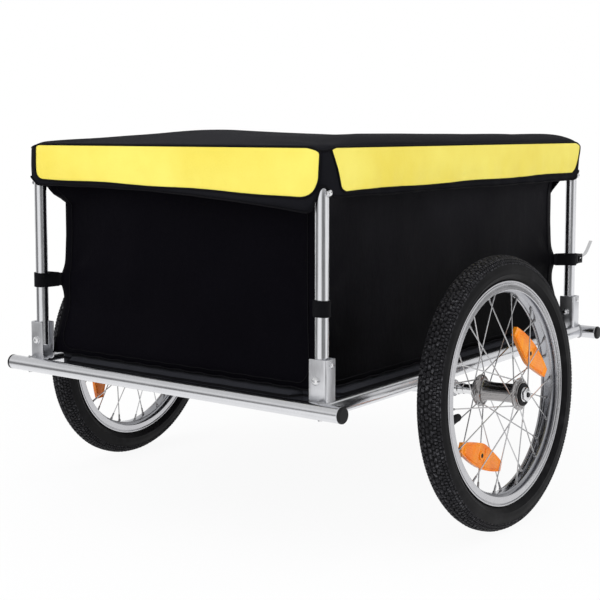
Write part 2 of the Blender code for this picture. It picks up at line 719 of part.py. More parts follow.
def tyre_profile():
    """The tyre's section as (radius, sideways) points: tread with two grooves, sidewalls and beads."""
    half = TYRE_WIDTH / 2
    deep = 0.0022
    belly = (WHEEL_R + RIM_SEAT_R) / 2
    seat = RIM_SEAT_R + GAP
    bead = RIM_WIDTH / 2 - RIM_WALL - GAP
    right = [
        (WHEEL_R, TREAD_FLAT),
        (WHEEL_R - deep, TREAD_FLAT + 0.0020),
        (WHEEL_R - 0.0045, half - 0.0080),
        (WHEEL_R - 0.0120, half - 0.0020),
        (belly, half),
        (RIM_OUTER_R + 0.0020, half - 0.0075),
        (RIM_OUTER_R + 0.0006, bead),
        (seat, bead),
        (seat, bead - 0.0045),
        (RIM_OUTER_R + 0.0020, bead - 0.0025),
        (belly, half - TYRE_WALL),
        (WHEEL_R - 0.0140, half - 0.0020 - TYRE_WALL),
        (WHEEL_R - 0.0045 - deep, TREAD_FLAT + 0.0020),
    ]
    return right + [(radius, -across) for radius, across in right[::-1]]


def rim_profile():
    """A single-wall rim: two flanges, bead seats and a well, drawn round its section."""
    half = RIM_WIDTH / 2
    right = [
        (RIM_OUTER_R, half),
        (RIM_SEAT_R - RIM_WALL, half),
        (RIM_INNER_R, 0.0065),
    ]
    left = [(radius, -across) for radius, across in right[::-1]]
    inside = [
        (RIM_OUTER_R, -half + RIM_WALL),
        (RIM_SEAT_R, -half + RIM_WALL),
        (RIM_SEAT_R, -half + RIM_WALL + 0.0045),
        (RIM_INNER_R + RIM_WALL, -0.0055),
    ]
    back = [(radius, -across) for radius, across in inside[::-1]]
    return right + left + inside + back


def tube_profile():
    """The inflated inner tube's section inside the tyre."""
    centre = WHEEL_R - TYRE_WALL - 0.0185
    wide = TYRE_WIDTH / 2 - TYRE_WALL - TUBE_PLAY - 0.0035
    tall = 0.0125
    return [
        (centre + tall * math.cos(angle), wide * math.sin(angle))
        for angle in (2 * math.pi * step / 6 for step in range(6))
    ], centre - tall


def hub_shell():
    """The hub's turned shell, with two flanges and a bearing seat in each end."""
    bore = AXLE_R + 0.0022
    seat = BEARING_SEAT_R + GAP
    deep = HUB_END - BEARING_WIDTH
    outside = [
        (seat, HUB_END),
        (seat + 0.0030, HUB_END),
        (seat + 0.0035, FLANGE_HALF + FLANGE_WALL / 2 + 0.001),
        (FLANGE_R - 0.001, FLANGE_HALF + FLANGE_WALL / 2),
        (FLANGE_R, FLANGE_HALF),
        (FLANGE_R - 0.001, FLANGE_HALF - FLANGE_WALL / 2),
        (BARREL_R + 0.0025, FLANGE_HALF - FLANGE_WALL / 2 - 0.002),
        (BARREL_R, FLANGE_HALF - 0.012),
    ]
    inside = [(bore, -deep), (seat, -deep), (seat, -HUB_END)]
    low = [(radius, -height) for radius, height in outside[::-1]]
    high = [(radius, -height) for radius, height in inside[::-1]]
    return outside + low[:-1] + inside[::-1] + high[::-1][:-1]


def spoke_ends(side, hole):
    """Where one spoke leaves its flange and where its nipple meets the rim."""
    pitch = 2 * math.pi / SPOKES_A_SIDE
    base = hole * pitch + (0 if side > 0 else pitch / 2)
    trailing = 1 if hole % 2 == 0 else -1
    lean = trailing * SPOKE_CROSSES * pitch
    step = SPOKE_STEP * trailing
    start = Vector((
        SPOKE_HOLE_R * math.cos(base), SPOKE_HOLE_R * math.sin(base), side * FLANGE_HALF + step
    ))
    reach = RIM_INNER_R - 2 * GAP - NIPPLE_R * NIPPLE_TILT
    finish = Vector((
        reach * math.cos(base + lean), reach * math.sin(base + lean), side * SPOKE_RIM_OFFSET
    ))
    return start, finish


def spoke_set():
    """The crossed spokes of both flanges with their nipples, built about +Z."""
    work = bmesh.new()
    for side in (1, -1):
        for hole in range(SPOKES_A_SIDE):
            start, finish = spoke_ends(side, hole)
            along = (finish - start).normalized()
            length = (finish - start).length
            profile = [
                (0, -0.0020),
                (SPOKE_R, -0.0020),
                (SPOKE_R, length - NIPPLE_LENGTH),
                (NIPPLE_R, length),
                (0, length),
            ]
            spoke = turned(profile, 4)
            aim(spoke, start, along)
            data = bpy.data.meshes.new("spoke_part")
            spoke.to_mesh(data)
            spoke.free()
            work.from_mesh(data)
            bpy.data.meshes.remove(data)
    return work


def hub_place(side):
    """A hub's centre and the outboard direction of its axle, which points a little up and back."""
    outboard = Vector((
        side * math.cos(LEAN) * math.cos(TOE_OUT), -math.cos(LEAN) * math.sin(TOE_OUT), math.sin(LEAN)
    ))
    return in_box(side * WHEEL_X, WHEEL_Y, AXLE_Z), outboard


def wheel(materials, side_name, side):
    """One wheel about its own hub, turned to face outboard."""
    centre, outboard = hub_place(side)
    rolled = 0 if side > 0 else LEFT_WHEEL_TURN * 2 * math.pi / WHEEL_STEPS

    def place(work):
        bmesh.ops.rotate(work, cent=(0, 0, 0), matrix=Matrix.Rotation(rolled, 3, "Z"), verts=work.verts)
        return aim(work, centre, outboard)

    work = place(turned(tyre_profile(), WHEEL_STEPS, closed=True))
    add_object(f"tyre_{side_name}", work, materials["rubber"], centre)
    rim = add_object(f"rim_{side_name}", place(turned(rim_profile(), WHEEL_STEPS, closed=True)),
                     materials["alloy"], centre)
    section, inner_edge = tube_profile()
    tube = add_object(f"inner_tube_{side_name}", place(turned(section, WHEEL_STEPS, closed=True)),
                      materials["plastic"], centre)
    down = Vector((math.cos(math.radians(VALVE_ANGLE)), math.sin(math.radians(VALVE_ANGLE)), 0))
    tip = inner_edge - VALVE_LENGTH
    valve = [
        (0, tip),
        (VALVE_CAP_R * 0.8, tip + 0.0010),
        (VALVE_CAP_R, tip + VALVE_CAP_LENGTH),
        (VALVE_R, tip + VALVE_CAP_LENGTH + 0.0005),
        (VALVE_R, inner_edge + 0.004),
        (0, inner_edge + 0.004),
    ]
    stem = place(aim(turned(valve, 10), (0, 0, 0), down))
    combine(tube, cutter(f"valve_{side_name}", stem), "UNION")
    drill = place(aim(rod(VALVE_R + GAP, RIM_INNER_R - 0.004, RIM_SEAT_R + 0.004, 10), (0, 0, 0), down))
    combine(rim, cutter(f"valve_hole_{side_name}", drill), "DIFFERENCE")

    hub = add_object(f"spoked_hub_{side_name}", place(turned(hub_shell(), HUB_STEPS, closed=True)),
                     materials["bright"], centre)
    combine(hub, cutter(f"spokes_{side_name}", place(spoke_set())), "UNION", crossing=True)

    for face_name, face in (("outer", 1), ("inner", -1)):
        seat = BEARING_SEAT_R
        low = HUB_END - BEARING_WIDTH + GAP
        high = HUB_END + GAP
        ring = [
            (AXLE_R + GAP, low * face),
            (seat, low * face),
            (seat, high * face),
            (SEAL_R, high * face),
            (SEAL_R - 0.0008, (high + SEAL_WALL) * face),
            (AXLE_R + GAP, (high + SEAL_WALL) * face),
        ]
        work = place(turned(ring, HUB_STEPS, closed=True))
        add_object(f"bearing_{face_name}_{side_name}", work, materials["plastic"], centre)

    for number, setting in enumerate(REFLECTOR_PLACES, 1):
        work = place(reflector(*setting))
        add_object(f"reflector_{number}_{side_name}", work, materials["amber"], centre)


def reflector(degrees, radius, lean, out):
    """A spoke reflector: a long lens, bowed on its rim side, with tapered ends, leaned a little off square."""
    steps = 8
    outer = []
    inner = []
    for step in range(steps + 1):
        share = step / steps * 2 - 1
        across = share * REFLECTOR_HALF
        outer.append((across, REFLECTOR_DEEP * (1 - 0.50 * share ** 2)))
        inner.append((across, -REFLECTOR_DEEP * (1 - 0.72 * abs(share) ** 1.5)))
    outline = outer + inner[::-1]
    work = outline_solid(outline, out - REFLECTOR_WALL / 2, out + REFLECTOR_WALL / 2)
    tilt = Matrix.Rotation(math.radians(lean), 3, "Z")
    bmesh.ops.rotate(work, cent=(0, 0, 0), matrix=tilt, verts=work.verts)
    bmesh.ops.translate(work, vec=(0, radius, 0), verts=work.verts)
    turn = Matrix.Rotation(math.radians(degrees - 90), 3, "Z")
    bmesh.ops.rotate(work, cent=(0, 0, 0), matrix=turn, verts=work.verts)
    return work


def axles(materials):
    """Push-button axles: a hollow pin through the hub into the carrier, with the release button in its head."""
    for side_name, side in SIDES:
        centre, outboard = hub_place(side)
        seal_face = HUB_END + GAP + SEAL_WALL + GAP
        head_end = seal_face + HEX_LENGTH
        shoulder = -(WHEEL_OUT - RAIL_OUT - BASE_TUBE_R - CARRIER_END - GAP)
        tip = -(WHEEL_OUT - RAIL_OUT - BASE_TUBE_R - CARRIER_END) - AXLE_INSERT
        profile = [
            (0, tip),
            (AXLE_R - 0.0015, tip),
            (AXLE_R, tip + 0.003),
            (AXLE_R, shoulder),
            (SHOULDER_R, shoulder),
            (SHOULDER_R, shoulder + 0.008),
            (SHOULDER_R * 0.86, shoulder + 0.008),
            (SHOULDER_R * 0.86, -seal_face - GAP),
            (AXLE_R, -seal_face - GAP),
            (AXLE_R, seal_face + 0.001),
            (0, seal_face + 0.001),
        ]
        pin = add_object(f"axle_{side_name}", aim(turned(profile, HUB_STEPS), centre, outboard), materials["plate"], centre)
        head = aim(rod(HEX_R, seal_face, head_end, 6), centre, outboard)
        combine(pin, cutter(f"axle_head_{side_name}", head), "UNION")
        depth = BUTTON_LENGTH + BUTTON_PROUD + GAP
        bore = aim(rod(AXLE_BORE_R, head_end - depth, head_end + 0.002, 12), centre, outboard)
        combine(pin, cutter(f"button_bore_{side_name}", bore), "DIFFERENCE")
        top = head_end + BUTTON_PROUD - 0.0015
        stem = [
            (0, top - BUTTON_LENGTH),
            (BUTTON_R, top - BUTTON_LENGTH),
            (BUTTON_R, top - 0.0008),
            (BUTTON_R - 0.0008, top),
            (0, top),
        ]
        add_object(f"release_button_{side_name}", aim(turned(stem, 12), centre, outboard),
                   materials["plastic"], centre)


def axle_carrier(materials):
    """The tube under both side rails that the two axles plug into, with its ends bent up and back."""
    centre, outboard = hub_place(1)
    reach = WHEEL_OUT - RAIL_OUT - BASE_TUBE_R - CARRIER_END
    start = centre - outboard * reach
    work = pipe_profile(CARRIER_R, AXLE_R + GAP, HUB_STEPS)
    aim(work, start, -outboard)
    faces = pull(work, list(work.faces), -outboard * CARRIER_SOCKET)
    corner = start - outboard * CARRIER_SOCKET
    across = outboard.cross(X_AXIS).normalized()
    bend = outboard.angle(X_AXIS)
    inward = across.cross(outboard) * CARRIER_BEND
    faces = swing(work, faces, corner - inward, across, bend, 2)
    turn = Matrix.Rotation(bend, 3, across)
    level = corner - inward + turn @ inward
    faces = pull(work, faces, -X_AXIS * 2 * level.x)
    mirrored = Vector((-across.x, across.y, across.z))
    middle = corner - inward
    faces = swing(work, faces, Vector((-middle.x, middle.y, middle.z)), mirrored, bend, 2)
    far = Vector((-outboard.x, outboard.y, outboard.z))
    pull(work, faces, far * CARRIER_SOCKET)
    bmesh.ops.recalc_face_normals(work, faces=work.faces)
    add_object("axle_carrier", work, materials["galvanised"])


def drawbar_bracket(materials, cross_cope):
    """A jaw on the front cross tube that the drawbar swings in."""
    pivot = in_box(DRAWBAR_X, PIVOT_FORWARD, BASE_Z)
    half = DRAWBAR_R + JAW_PLAY
    out = half + JAW_WALL
    back = -DRAWBAR_EYE - JAW_WALL - BASE_TUBE_R * 0.6
    outline = [
        (back, -out),
        (JAW_FRONT, -out),
        (JAW_FRONT, -half),
        (-DRAWBAR_EYE, -half),
        (-DRAWBAR_EYE, half),
        (JAW_FRONT, half),
        (JAW_FRONT, out),
        (back, out),
    ]
    work = outline_solid(outline, -0.015, 0.015)
    turn = Matrix(((0, 0, 1), (1, 0, 0), (0, 1, 0)))
    bmesh.ops.transform(work, matrix=turn.to_4x4(), verts=work.verts)
    bmesh.ops.translate(work, vec=pivot, verts=work.verts)
    bmesh.ops.recalc_face_normals(work, faces=work.faces)
    jaw = add_object("drawbar_bracket", work, materials["plate"])
    combine(jaw, cross_cope["front"], "DIFFERENCE")
    drill = cutter("drawbar_drill", aim(rod(DRAWBAR_BOLT_R + PIVOT_GAP, -0.03, 0.03, BOLT_SIDES), pivot, Z_AXIS))
    combine(jaw, drill, "DIFFERENCE")
    profile = bolt_profile(DRAWBAR_BOLT_R, 0.0075, 0.0075, out, out)
    add_object("drawbar_bolt", aim(turned(profile, BOLT_SIDES), pivot, Z_AXIS), materials["bright"])
    return pivot, drill


def drawbar(materials, pivot, drill):
    """A tube that runs forwards, bends up and levels off, with a flexible block and a hitch fork on its end."""
    work = pipe_profile(DRAWBAR_R, DRAWBAR_R - DRAWBAR_WALL, TUBE_SIDES)
    aim(work, pivot - Y_AXIS * DRAWBAR_TAIL, Y_AXIS)
    faces = pull(work, list(work.faces), Y_AXIS * (DRAWBAR_TAIL + DRAWBAR_FIRST))
    place = pivot + Y_AXIS * DRAWBAR_FIRST
    faces = swing(work, faces, place + Z_AXIS * DRAWBAR_BEND, X_AXIS, RISE_ANGLE, 3)
    place += Vector((0, DRAWBAR_BEND * math.sin(RISE_ANGLE), DRAWBAR_BEND * (1 - math.cos(RISE_ANGLE))))
    slope = Vector((0, math.cos(RISE_ANGLE), math.sin(RISE_ANGLE)))
    run = DRAWBAR_LAST * 0.7
    faces = pull(work, faces, slope * (run / math.cos(RISE_ANGLE)))
    place += slope * (run / math.cos(RISE_ANGLE))
    normal = Vector((0, math.sin(RISE_ANGLE), -math.cos(RISE_ANGLE)))
    faces = swing(work, faces, place + normal * DRAWBAR_BEND, -X_AXIS, RISE_ANGLE, 3)
    place += Vector((0, DRAWBAR_BEND * math.sin(RISE_ANGLE), DRAWBAR_BEND * (1 - math.cos(RISE_ANGLE))))
    pull(work, faces, Y_AXIS * (DRAWBAR_LAST - run))
    place += Y_AXIS * (DRAWBAR_LAST - run)
    bmesh.ops.recalc_face_normals(work, faces=work.faces)
    bar = add_object("drawbar", work, materials["galvanised"], pivot)
    combine(bar, drill, "DIFFERENCE")

    plug = DRAWBAR_R - DRAWBAR_WALL - GAP
    ribs = [(BLOCK_R - 0.0025 * (step % 2), GAP + BLOCK_LENGTH * (0.14 + 0.72 * step / 4)) for step in range(5)]
    profile = [
        (0, -BLOCK_PLUG),
        (plug, -BLOCK_PLUG),
        (plug, GAP),
        (BLOCK_R, GAP),
        *ribs,
        (BLOCK_R, BLOCK_LENGTH),
        (0, BLOCK_LENGTH),
    ]
    add_object("hitch_block", aim(turned(profile, TUBE_SIDES), place, Y_AXIS), materials["plastic"], pivot)

    start = BLOCK_LENGTH + GAP
    half = HITCH_WIDTH / 2
    outline = [
        (start, -half),
        (start + HITCH_DEPTH, -half),
        (start + HITCH_DEPTH, -half + HITCH_WALL),
        (start + HITCH_WALL, -half + HITCH_WALL),
        (start + HITCH_WALL, half - HITCH_WALL),
        (start + HITCH_DEPTH, half - HITCH_WALL),
        (start + HITCH_DEPTH, half),
        (start, half),
    ]
    work = outline_solid(outline, -0.012, 0.012)
    rounded = [
        edge for edge in work.edges
        if all(abs(vert.co.x - start - HITCH_DEPTH) < MERGE for vert in edge.verts)
        and abs(edge.verts[0].co.y - edge.verts[1].co.y) > MERGE
    ]
    bmesh.ops.bevel(work, geom=rounded, offset=0.008, segments=3, profile=0.5, affect="EDGES", material=-1)
    turn = Matrix(((0, 1, 0), (1, 0, 0), (0, 0, 1)))
    bmesh.ops.transform(work, matrix=turn.to_4x4(), verts=work.verts)
    bmesh.ops.translate(work, vec=place, verts=work.verts)
    bmesh.ops.recalc_face_normals(work, faces=work.faces)
    fork = add_object("hitch_fork", work, materials["plate"], pivot)
    hole = place + Y_AXIS * (start + HITCH_DEPTH - 0.014)
    drill = cutter("hitch_drill", aim(rod(HITCH_PIN_R + PIVOT_GAP, -0.03, 0.03, BOLT_SIDES), hole, X_AXIS))
    combine(fork, drill, "DIFFERENCE")
    profile = [
        (0, -half - 0.008),
        (HITCH_PIN_R - 0.0015, -half - 0.008),
        (HITCH_PIN_R, -half - 0.006),
        (HITCH_PIN_R, half + GAP),
        (0.0085, half + GAP),
        (0.0085, half + 0.004),
        (0.0060, half + 0.006),
        (0, half + 0.006),
    ]
    add_object("hitch_pin", aim(turned(profile, BOLT_SIDES), hole, X_AXIS), materials["bright"], hole)


def main():
    clear_scene()
    materials = all_materials()
    cross_cope, rail_cope = base_frame(materials)
    drills, screw = pivot_cutters()
    channel_brackets(materials, cross_cope, rail_cope, drills)
    pivot_bolts(materials)
    hoops(materials, drills, screw)
    tub_walls(materials)
    floor_panel(materials)
    post_straps(materials)
    strap_buckle(materials)
    cover(materials)
    axle_carrier(materials)
    axles(materials)
    for side_name, side in SIDES:
        wheel(materials, side_name, side)
    pivot, drill = drawbar_bracket(materials, cross_cope)
    drawbar(materials, pivot, drill)


main()
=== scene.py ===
"""A folding bicycle cargo trailer: black cloth tub, cover with yellow sides, silver tubes and two spoked wheels."""
import json
from math import acos, atan2, copysign, cos, exp, hypot, pi, radians, sin, sqrt, tan

import bmesh
import bpy
from mathutils import Matrix, Vector, noise

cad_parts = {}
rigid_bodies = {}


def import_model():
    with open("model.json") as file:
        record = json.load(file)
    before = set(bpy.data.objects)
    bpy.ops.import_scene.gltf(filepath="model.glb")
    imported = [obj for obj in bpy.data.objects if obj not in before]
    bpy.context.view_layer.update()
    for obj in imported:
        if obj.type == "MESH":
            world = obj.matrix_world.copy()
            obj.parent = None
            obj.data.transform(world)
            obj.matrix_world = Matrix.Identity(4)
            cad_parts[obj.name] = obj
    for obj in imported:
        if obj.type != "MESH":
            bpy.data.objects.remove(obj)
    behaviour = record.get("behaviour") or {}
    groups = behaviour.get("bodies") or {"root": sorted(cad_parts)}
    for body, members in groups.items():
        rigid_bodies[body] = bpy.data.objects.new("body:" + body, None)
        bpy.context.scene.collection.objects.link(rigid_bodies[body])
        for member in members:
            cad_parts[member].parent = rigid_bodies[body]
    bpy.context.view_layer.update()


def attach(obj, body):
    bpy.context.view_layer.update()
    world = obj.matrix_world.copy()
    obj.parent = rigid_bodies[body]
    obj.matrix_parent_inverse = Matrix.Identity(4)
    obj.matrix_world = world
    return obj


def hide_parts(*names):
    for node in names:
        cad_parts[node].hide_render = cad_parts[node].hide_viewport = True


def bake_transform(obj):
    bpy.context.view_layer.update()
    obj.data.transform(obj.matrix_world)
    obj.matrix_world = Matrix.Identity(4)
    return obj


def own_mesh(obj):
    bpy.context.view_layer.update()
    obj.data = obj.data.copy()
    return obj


for leftover in list(bpy.data.objects):
    bpy.data.objects.remove(leftover)
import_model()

# Sizes in metres, but turned profiles and small hardware in millimetres. The box's middle is at x 0 and y BOX_Y, the
# floor at z 0, and +Y is forwards.
MM = 0.001
BOX_Y = -0.356655
POST_X = 0.266
POST_Y = 0.3825
POST_R = 0.0095
BASE_Z = 0.219
BASE_R = 0.011
TUBE_WALL = 0.0015
RAIL_X = 0.276
CROSS_Y = 0.4025
CROSS_END = 0.311
BRACKET_LOW = 0.225
BRACKET_HIGH = 0.2845
PIVOT_Z = 0.2565
HOOP_TOP = 0.55
HOOP_BEND = 0.052
HOOP_SCREW_Z = 0.5
WHEEL_X = 0.3667
WHEEL_Y = -0.0755
WHEEL_R = 0.2
WHEEL_LEAN = radians(2.75)
WHEEL_TOE_OUT = radians(2.8)
SPOKES_A_SIDE = 14
LEFT_WHEEL_TURN = -radians(4 * 360 / 28)
AXLE_Z = WHEEL_R * cos(WHEEL_LEAN) + 0.0055 * sin(WHEEL_LEAN)
STRAP_Z = 0.35
STRAP_WIDE = 0.0215
COVER_X = 0.2795
COVER_Y = 0.396
COVER_TOP = 0.5606
COVER_CORNER = 0.014
COVER_ROLL = 0.006
COVER_CROWN = 0.0122
COVER_HEM = 0.493
COVER_NOTCH = 0.5085
PLATE_EDGE = 0.0005
CLOTH_WALL = 0.0012
# (height, how far the wall stands inside the post line)
WALL_LEVELS = (
    (0.2357, 0.0085), (0.262, 0.0145), (0.31, 0.023), (0.42, 0.0265), (0.495, 0.0265), (0.538, 0.02)
)
WALL_LOW = WALL_LEVELS[0][0]
WALL_RISE = WALL_LEVELS[-1][0] - WALL_LOW
SEAM_IN = 0.016
SEAM_BEND = 0.026

SIDES = (("right", 1), ("left", -1))
ENDS = (("front", 1), ("rear", -1))
POSTS = [(f"{end_name}_{side_name}", side_name, side, end) for end_name, end in ENDS for side_name, side in SIDES]


def on_box(x, y, z):
    """A point given from the middle of the box, in the trailer's own place."""
    return Vector((x, BOX_Y + y, z))


def clamp(value):
    return min(max(value, 0.0), 1.0)


def ramp(value, low, high):
    """Eases from 0 at low to 1 at high."""
    share = clamp((value - low) / (high - low))
    return share * share * (3 - 2 * share)


def linked(name, data):
    """Puts a new object into the scene."""
    thing = bpy.data.objects.new(name, data)
    bpy.context.scene.collection.objects.link(thing)
    return thing


def at_level(levels, z):
    """Reads straight runs between (height, value) pairs."""
    for (low, below), (high, above) in zip(levels, levels[1:]):
        if z <= high:
            return below + (above - below) * clamp((z - low) / (high - low))
    return levels[-1][1]


def cloudy(x, y, z):
    """Smooth noise from about -1 to 1."""
    return noise.noise(Vector((x, y, z)))


def angles(count, turn=2 * pi):
    """The angles of count equal steps of a turn, from 0."""
    return [turn * step / count for step in range(count)]


# Finishes


def feed(tree, node, inputs):
    """Gives a node its inputs, each a value or another node's output."""
    for name, given in inputs.items():
        if isinstance(given, bpy.types.NodeSocket):
            tree.links.new(given, node.inputs[name])
        else:
            node.inputs[name].default_value = given


def add(tree, kind, inputs, output, operation=None):
    """Adds a node with its inputs, and returns one of its outputs."""
    node = tree.nodes.new("ShaderNode" + kind)
    if operation:
        node.operation = operation
    feed(tree, node, inputs)
    return node.outputs[output]


def blank_finish(name):
    """A new material, with its tree, its surface shader and its coordinates."""
    finish = bpy.data.materials.new(name)
    finish.use_nodes = True
    tree = finish.node_tree
    return finish, tree, tree.nodes["Principled BSDF"], tree.nodes.new("ShaderNodeTexCoord").outputs


def grain(tree, vector, scale, detail, rough, stretch=(1, 1, 1)):
    """Cloudy noise, stretched along any axis."""
    vector = add(tree, "Mapping", {"Scale": stretch, "Vector": vector}, "Vector")
    return add(tree, "TexNoise", {"Scale": scale, "Detail": detail, "Roughness": rough, "Vector": vector}, "Fac")


def tint(tree, value, *stops):
    """Turns a value into colours between stops of (position, colour)."""
    node = tree.nodes.new("ShaderNodeValToRGB")
    band = node.color_ramp
    while len(band.elements) < len(stops):
        band.elements.new(0.5)
    for element, (position, colour) in zip(band.elements, stops):
        element.position = position
        element.color = (*colour, 1)
    feed(tree, node, {"Fac": value})
    return node.outputs["Color"]


def spread(tree, value, low, high, from_low=0.3, from_high=0.7):
    """Maps a value onto the range low to high."""
    limits = {"From Min": from_low, "From Max": from_high, "To Min": low, "To Max": high}
    return add(tree, "MapRange", {"Value": value, **limits}, "Result")


def sums(tree, *values, kind="ADD"):
    """Adds, takes away or multiplies several values in turn."""
    total = values[0]
    for value in values[1:]:
        total = add(tree, "Math", {0: total, 1: value}, "Value", kind)
    return total


def relief(tree, shader, height, depth, strength):
    """Raises the surface by a height value, in metres, on top of any relief that it already has."""
    inputs = {"Strength": strength, "Distance": depth, "Height": height}
    if shader.inputs["Normal"].links:
        inputs["Normal"] = shader.inputs["Normal"].links[0].from_socket
    feed(tree, shader, {"Normal": add(tree, "Bump", inputs, "Normal")})


def ridges(tree, vector, pitches, more):
    """Parallel ridges along each axis at its pitch in metres, added up."""
    total = 0.0
    for axis, pitch in pitches:
        wave = tree.nodes.new("ShaderNodeTexWave")
        wave.bands_direction = axis
        feed(tree, wave, {"Scale": 0.31415 / pitch, "Vector": vector, **more})
        total = sums(tree, wave.outputs["Fac"], total)
    return total


def cloth_finish(
    name, dark, light, rough, sheen=0.0, pitch=0.0011, folds=0.0012, mottle=3.0, gloss=0.35, source="Object", painted_sheen=0.0
):
    """Woven polyester: crossed threads, soft creases and an uneven colouring; a painted sheen, when given, makes the
    cloth's colour darker towards its bottom and paler towards its top.
    """
    finish, tree, shader, place = blank_finish(name)
    vector = place[source]
    fine = grain(tree, vector, 900.0, 2.0, 0.6)
    dye_and_painted_sheen = sums(tree, spread(tree, grain(tree, vector, mottle, 3.0, 0.5), 0.0, 0.75), spread(tree, fine, 0.0, 0.25))
    # Painted sheen: the base colour gets darker towards the bottom of the cloth and paler towards its top.
    if painted_sheen:
        up = add(tree, "SeparateXYZ", {"Vector": vector}, "Y")
        dye_and_painted_sheen = sums(tree, dye_and_painted_sheen, spread(tree, up, -painted_sheen, painted_sheen, 0.05, 0.25))
    feed(tree, shader, {
        "Base Color": tint(tree, dye_and_painted_sheen, (0.0, dark), (1.0, light)), "Sheen Weight": sheen, "Sheen Roughness": 0.4,
        "Roughness": spread(tree, fine, rough - 0.08, rough + 0.08), "Specular IOR Level": gloss
    })
    threads = [(axis, pitch) for axis in "XYZ"]
    relief(
        tree, shader, ridges(tree, vector, threads, {"Distortion": 0.6, "Detail": 1.0, "Detail Scale": 0.5}),
        0.00012, 0.7
    )
    relief(tree, shader, grain(tree, vector, 26.0, 5.0, 0.62, (1.0, 0.6, 0.45)), folds, 0.8)
    return finish


def metal_finish(name, dark, light, rough, along=(1, 1, 1), spots=0.0, depth=0.00006):
    """Aluminium or plated steel with fine drawn lines, handling marks and a slightly uneven shine."""
    finish, tree, shader, place = blank_finish(name)
    lines = grain(tree, place["Object"], 700.0, 3.0, 0.6, along)
    patch = grain(tree, place["Object"], 9.0, 5.0, 0.6)
    mix = sums(tree, spread(tree, lines, 0.0, 0.5), spread(tree, patch, 0.0, 0.5))
    wear = sums(tree, spread(tree, patch, -0.06, 0.06), spread(tree, lines, -0.04, 0.04), rough)
    if spots:
        specks = grain(tree, place["Object"], 160.0, 2.0, 0.5)
        wear = sums(tree, wear, spread(tree, specks, 0.0, spots, 0.55, 0.75))
    feed(tree, shader, {
        "Metallic": 1.0, "Base Color": tint(tree, mix, (0.0, dark), (1.0, light)), "Roughness": wear
    })
    relief(tree, shader, lines, depth, 0.5)
    return finish


def plastic_finish(name, dark, light, rough=0.45):
    """Moulded plastic with a fine spark-eroded grain."""
    finish, tree, shader, place = blank_finish(name)
    patch = grain(tree, place["Object"], 40.0, 4.0, 0.6)
    feed(tree, shader, {
        "Base Color": tint(tree, patch, (0.3, dark), (0.7, light)),
        "Roughness": spread(tree, patch, rough - 0.06, rough + 0.08), "Specular IOR Level": 0.2
    })
    relief(tree, shader, grain(tree, place["Object"], 1400.0, 2.0, 0.5), 0.0002, 0.5)
    return finish


def rubber_finish(name, dark, middle, worn, specks, rough):
    """Tyre rubber: charcoal with a dusty haze, and paler specks where it is worn."""
    finish, tree, shader, place = blank_finish(name)
    cloud = grain(tree, place["Object"], 14.0, 5.0, 0.65)
    spots = grain(tree, place["Object"], specks, 2.0, 0.5)
    dust = sums(tree, spread(tree, cloud, 0.0, 0.4), spread(tree, spots, 0.0, 0.8, 0.42, 0.72))
    feed(tree, shader, {
        "Base Color": tint(tree, dust, (0.0, dark), (0.6, middle), (1.0, worn)),
        "Roughness": spread(tree, cloud, rough - 0.08, rough + 0.1), "Specular IOR Level": 0.12
    })
    relief(tree, shader, spots, 0.0003, 0.5)
    return finish


def webbing_finish(name, dark, light):
    """Polypropylene webbing: ribs along the strap and small cross threads, from the strap's own length and width."""
    finish, tree, shader, place = blank_finish(name)
    total = ridges(tree, place["UV"], (("X", 0.0016), ("Y", 0.0011)), {"Distortion": 0.4})
    patch = grain(tree, place["Object"], 60.0, 3.0, 0.6)
    shade = sums(tree, spread(tree, total, 0.0, 0.6, 0.0, 2.0), spread(tree, patch, 0.0, 0.4))
    feed(tree, shader, {
        "Base Color": tint(tree, shade, (0.0, dark), (1.0, light)), "Roughness": spread(tree, patch, 0.55, 0.72),
        "Specular IOR Level": 0.08
    })
    relief(tree, shader, total, 0.00035, 0.8)
    return finish


def reflector_finish(name, *stops):
    """Lens plastic: clear outer gloss over small moulded prisms."""
    finish, tree, shader, place = blank_finish(name)
    cells = add(tree, "TexVoronoi", {"Scale": 420.0, "Randomness": 0.12, "Vector": place["Object"]}, "Distance")
    patch = grain(tree, place["Object"], 30.0, 3.0, 0.5)
    shade = sums(tree, spread(tree, patch, 0.0, 0.6), spread(tree, cells, 0.0, 0.4, 0.0, 0.6))
    feed(tree, shader, {
        "Base Color": tint(tree, shade, *stops), "Roughness": spread(tree, cells, 0.1, 0.32, 0.0, 0.6),
        "Specular IOR Level": 0.25, "Coat Weight": 0.2, "Coat Roughness": 0.12
    })
    relief(tree, shader, cells, 0.0006, 0.6)
    return finish


TUBE = metal_finish("satin_tube", (0.68, 0.685, 0.71), (0.8, 0.805, 0.83), 0.2, (1, 1, 0.06))
PLATE = metal_finish("bracket_plate", (0.66, 0.665, 0.69), (0.8, 0.805, 0.83), 0.36, (1, 1, 0.1), 0.08)
BRIGHT = metal_finish("bright_plating", (0.66, 0.665, 0.68), (0.9, 0.9, 0.91), 0.14)
ALLOY = metal_finish("rim_alloy", (0.46, 0.46, 0.48), (0.65, 0.65, 0.67), 0.22, spots=0.06)
RIM_BED_METAL = metal_finish("rim_bed_alloy", (0.3, 0.305, 0.33), (0.52, 0.525, 0.55), 0.2, spots=0.05)
HUB_METAL = metal_finish("hub_alloy", (0.26, 0.25, 0.25), (0.44, 0.43, 0.43), 0.22)
SPOKE_METAL = metal_finish("spoke_steel", (0.5, 0.5, 0.51), (0.7, 0.7, 0.71), 0.22)
NIPPLE_METAL = metal_finish("nipple_brass_plate", (0.24, 0.24, 0.25), (0.44, 0.44, 0.45), 0.28)
WELD = metal_finish("weld_bead", (0.34, 0.345, 0.36), (0.58, 0.585, 0.6), 0.42, depth=0.0003)
TREAD = rubber_finish("tread_rubber", (0.009, 0.0088, 0.01), (0.022, 0.0215, 0.024), (0.08, 0.079, 0.085), 260.0, 0.66)
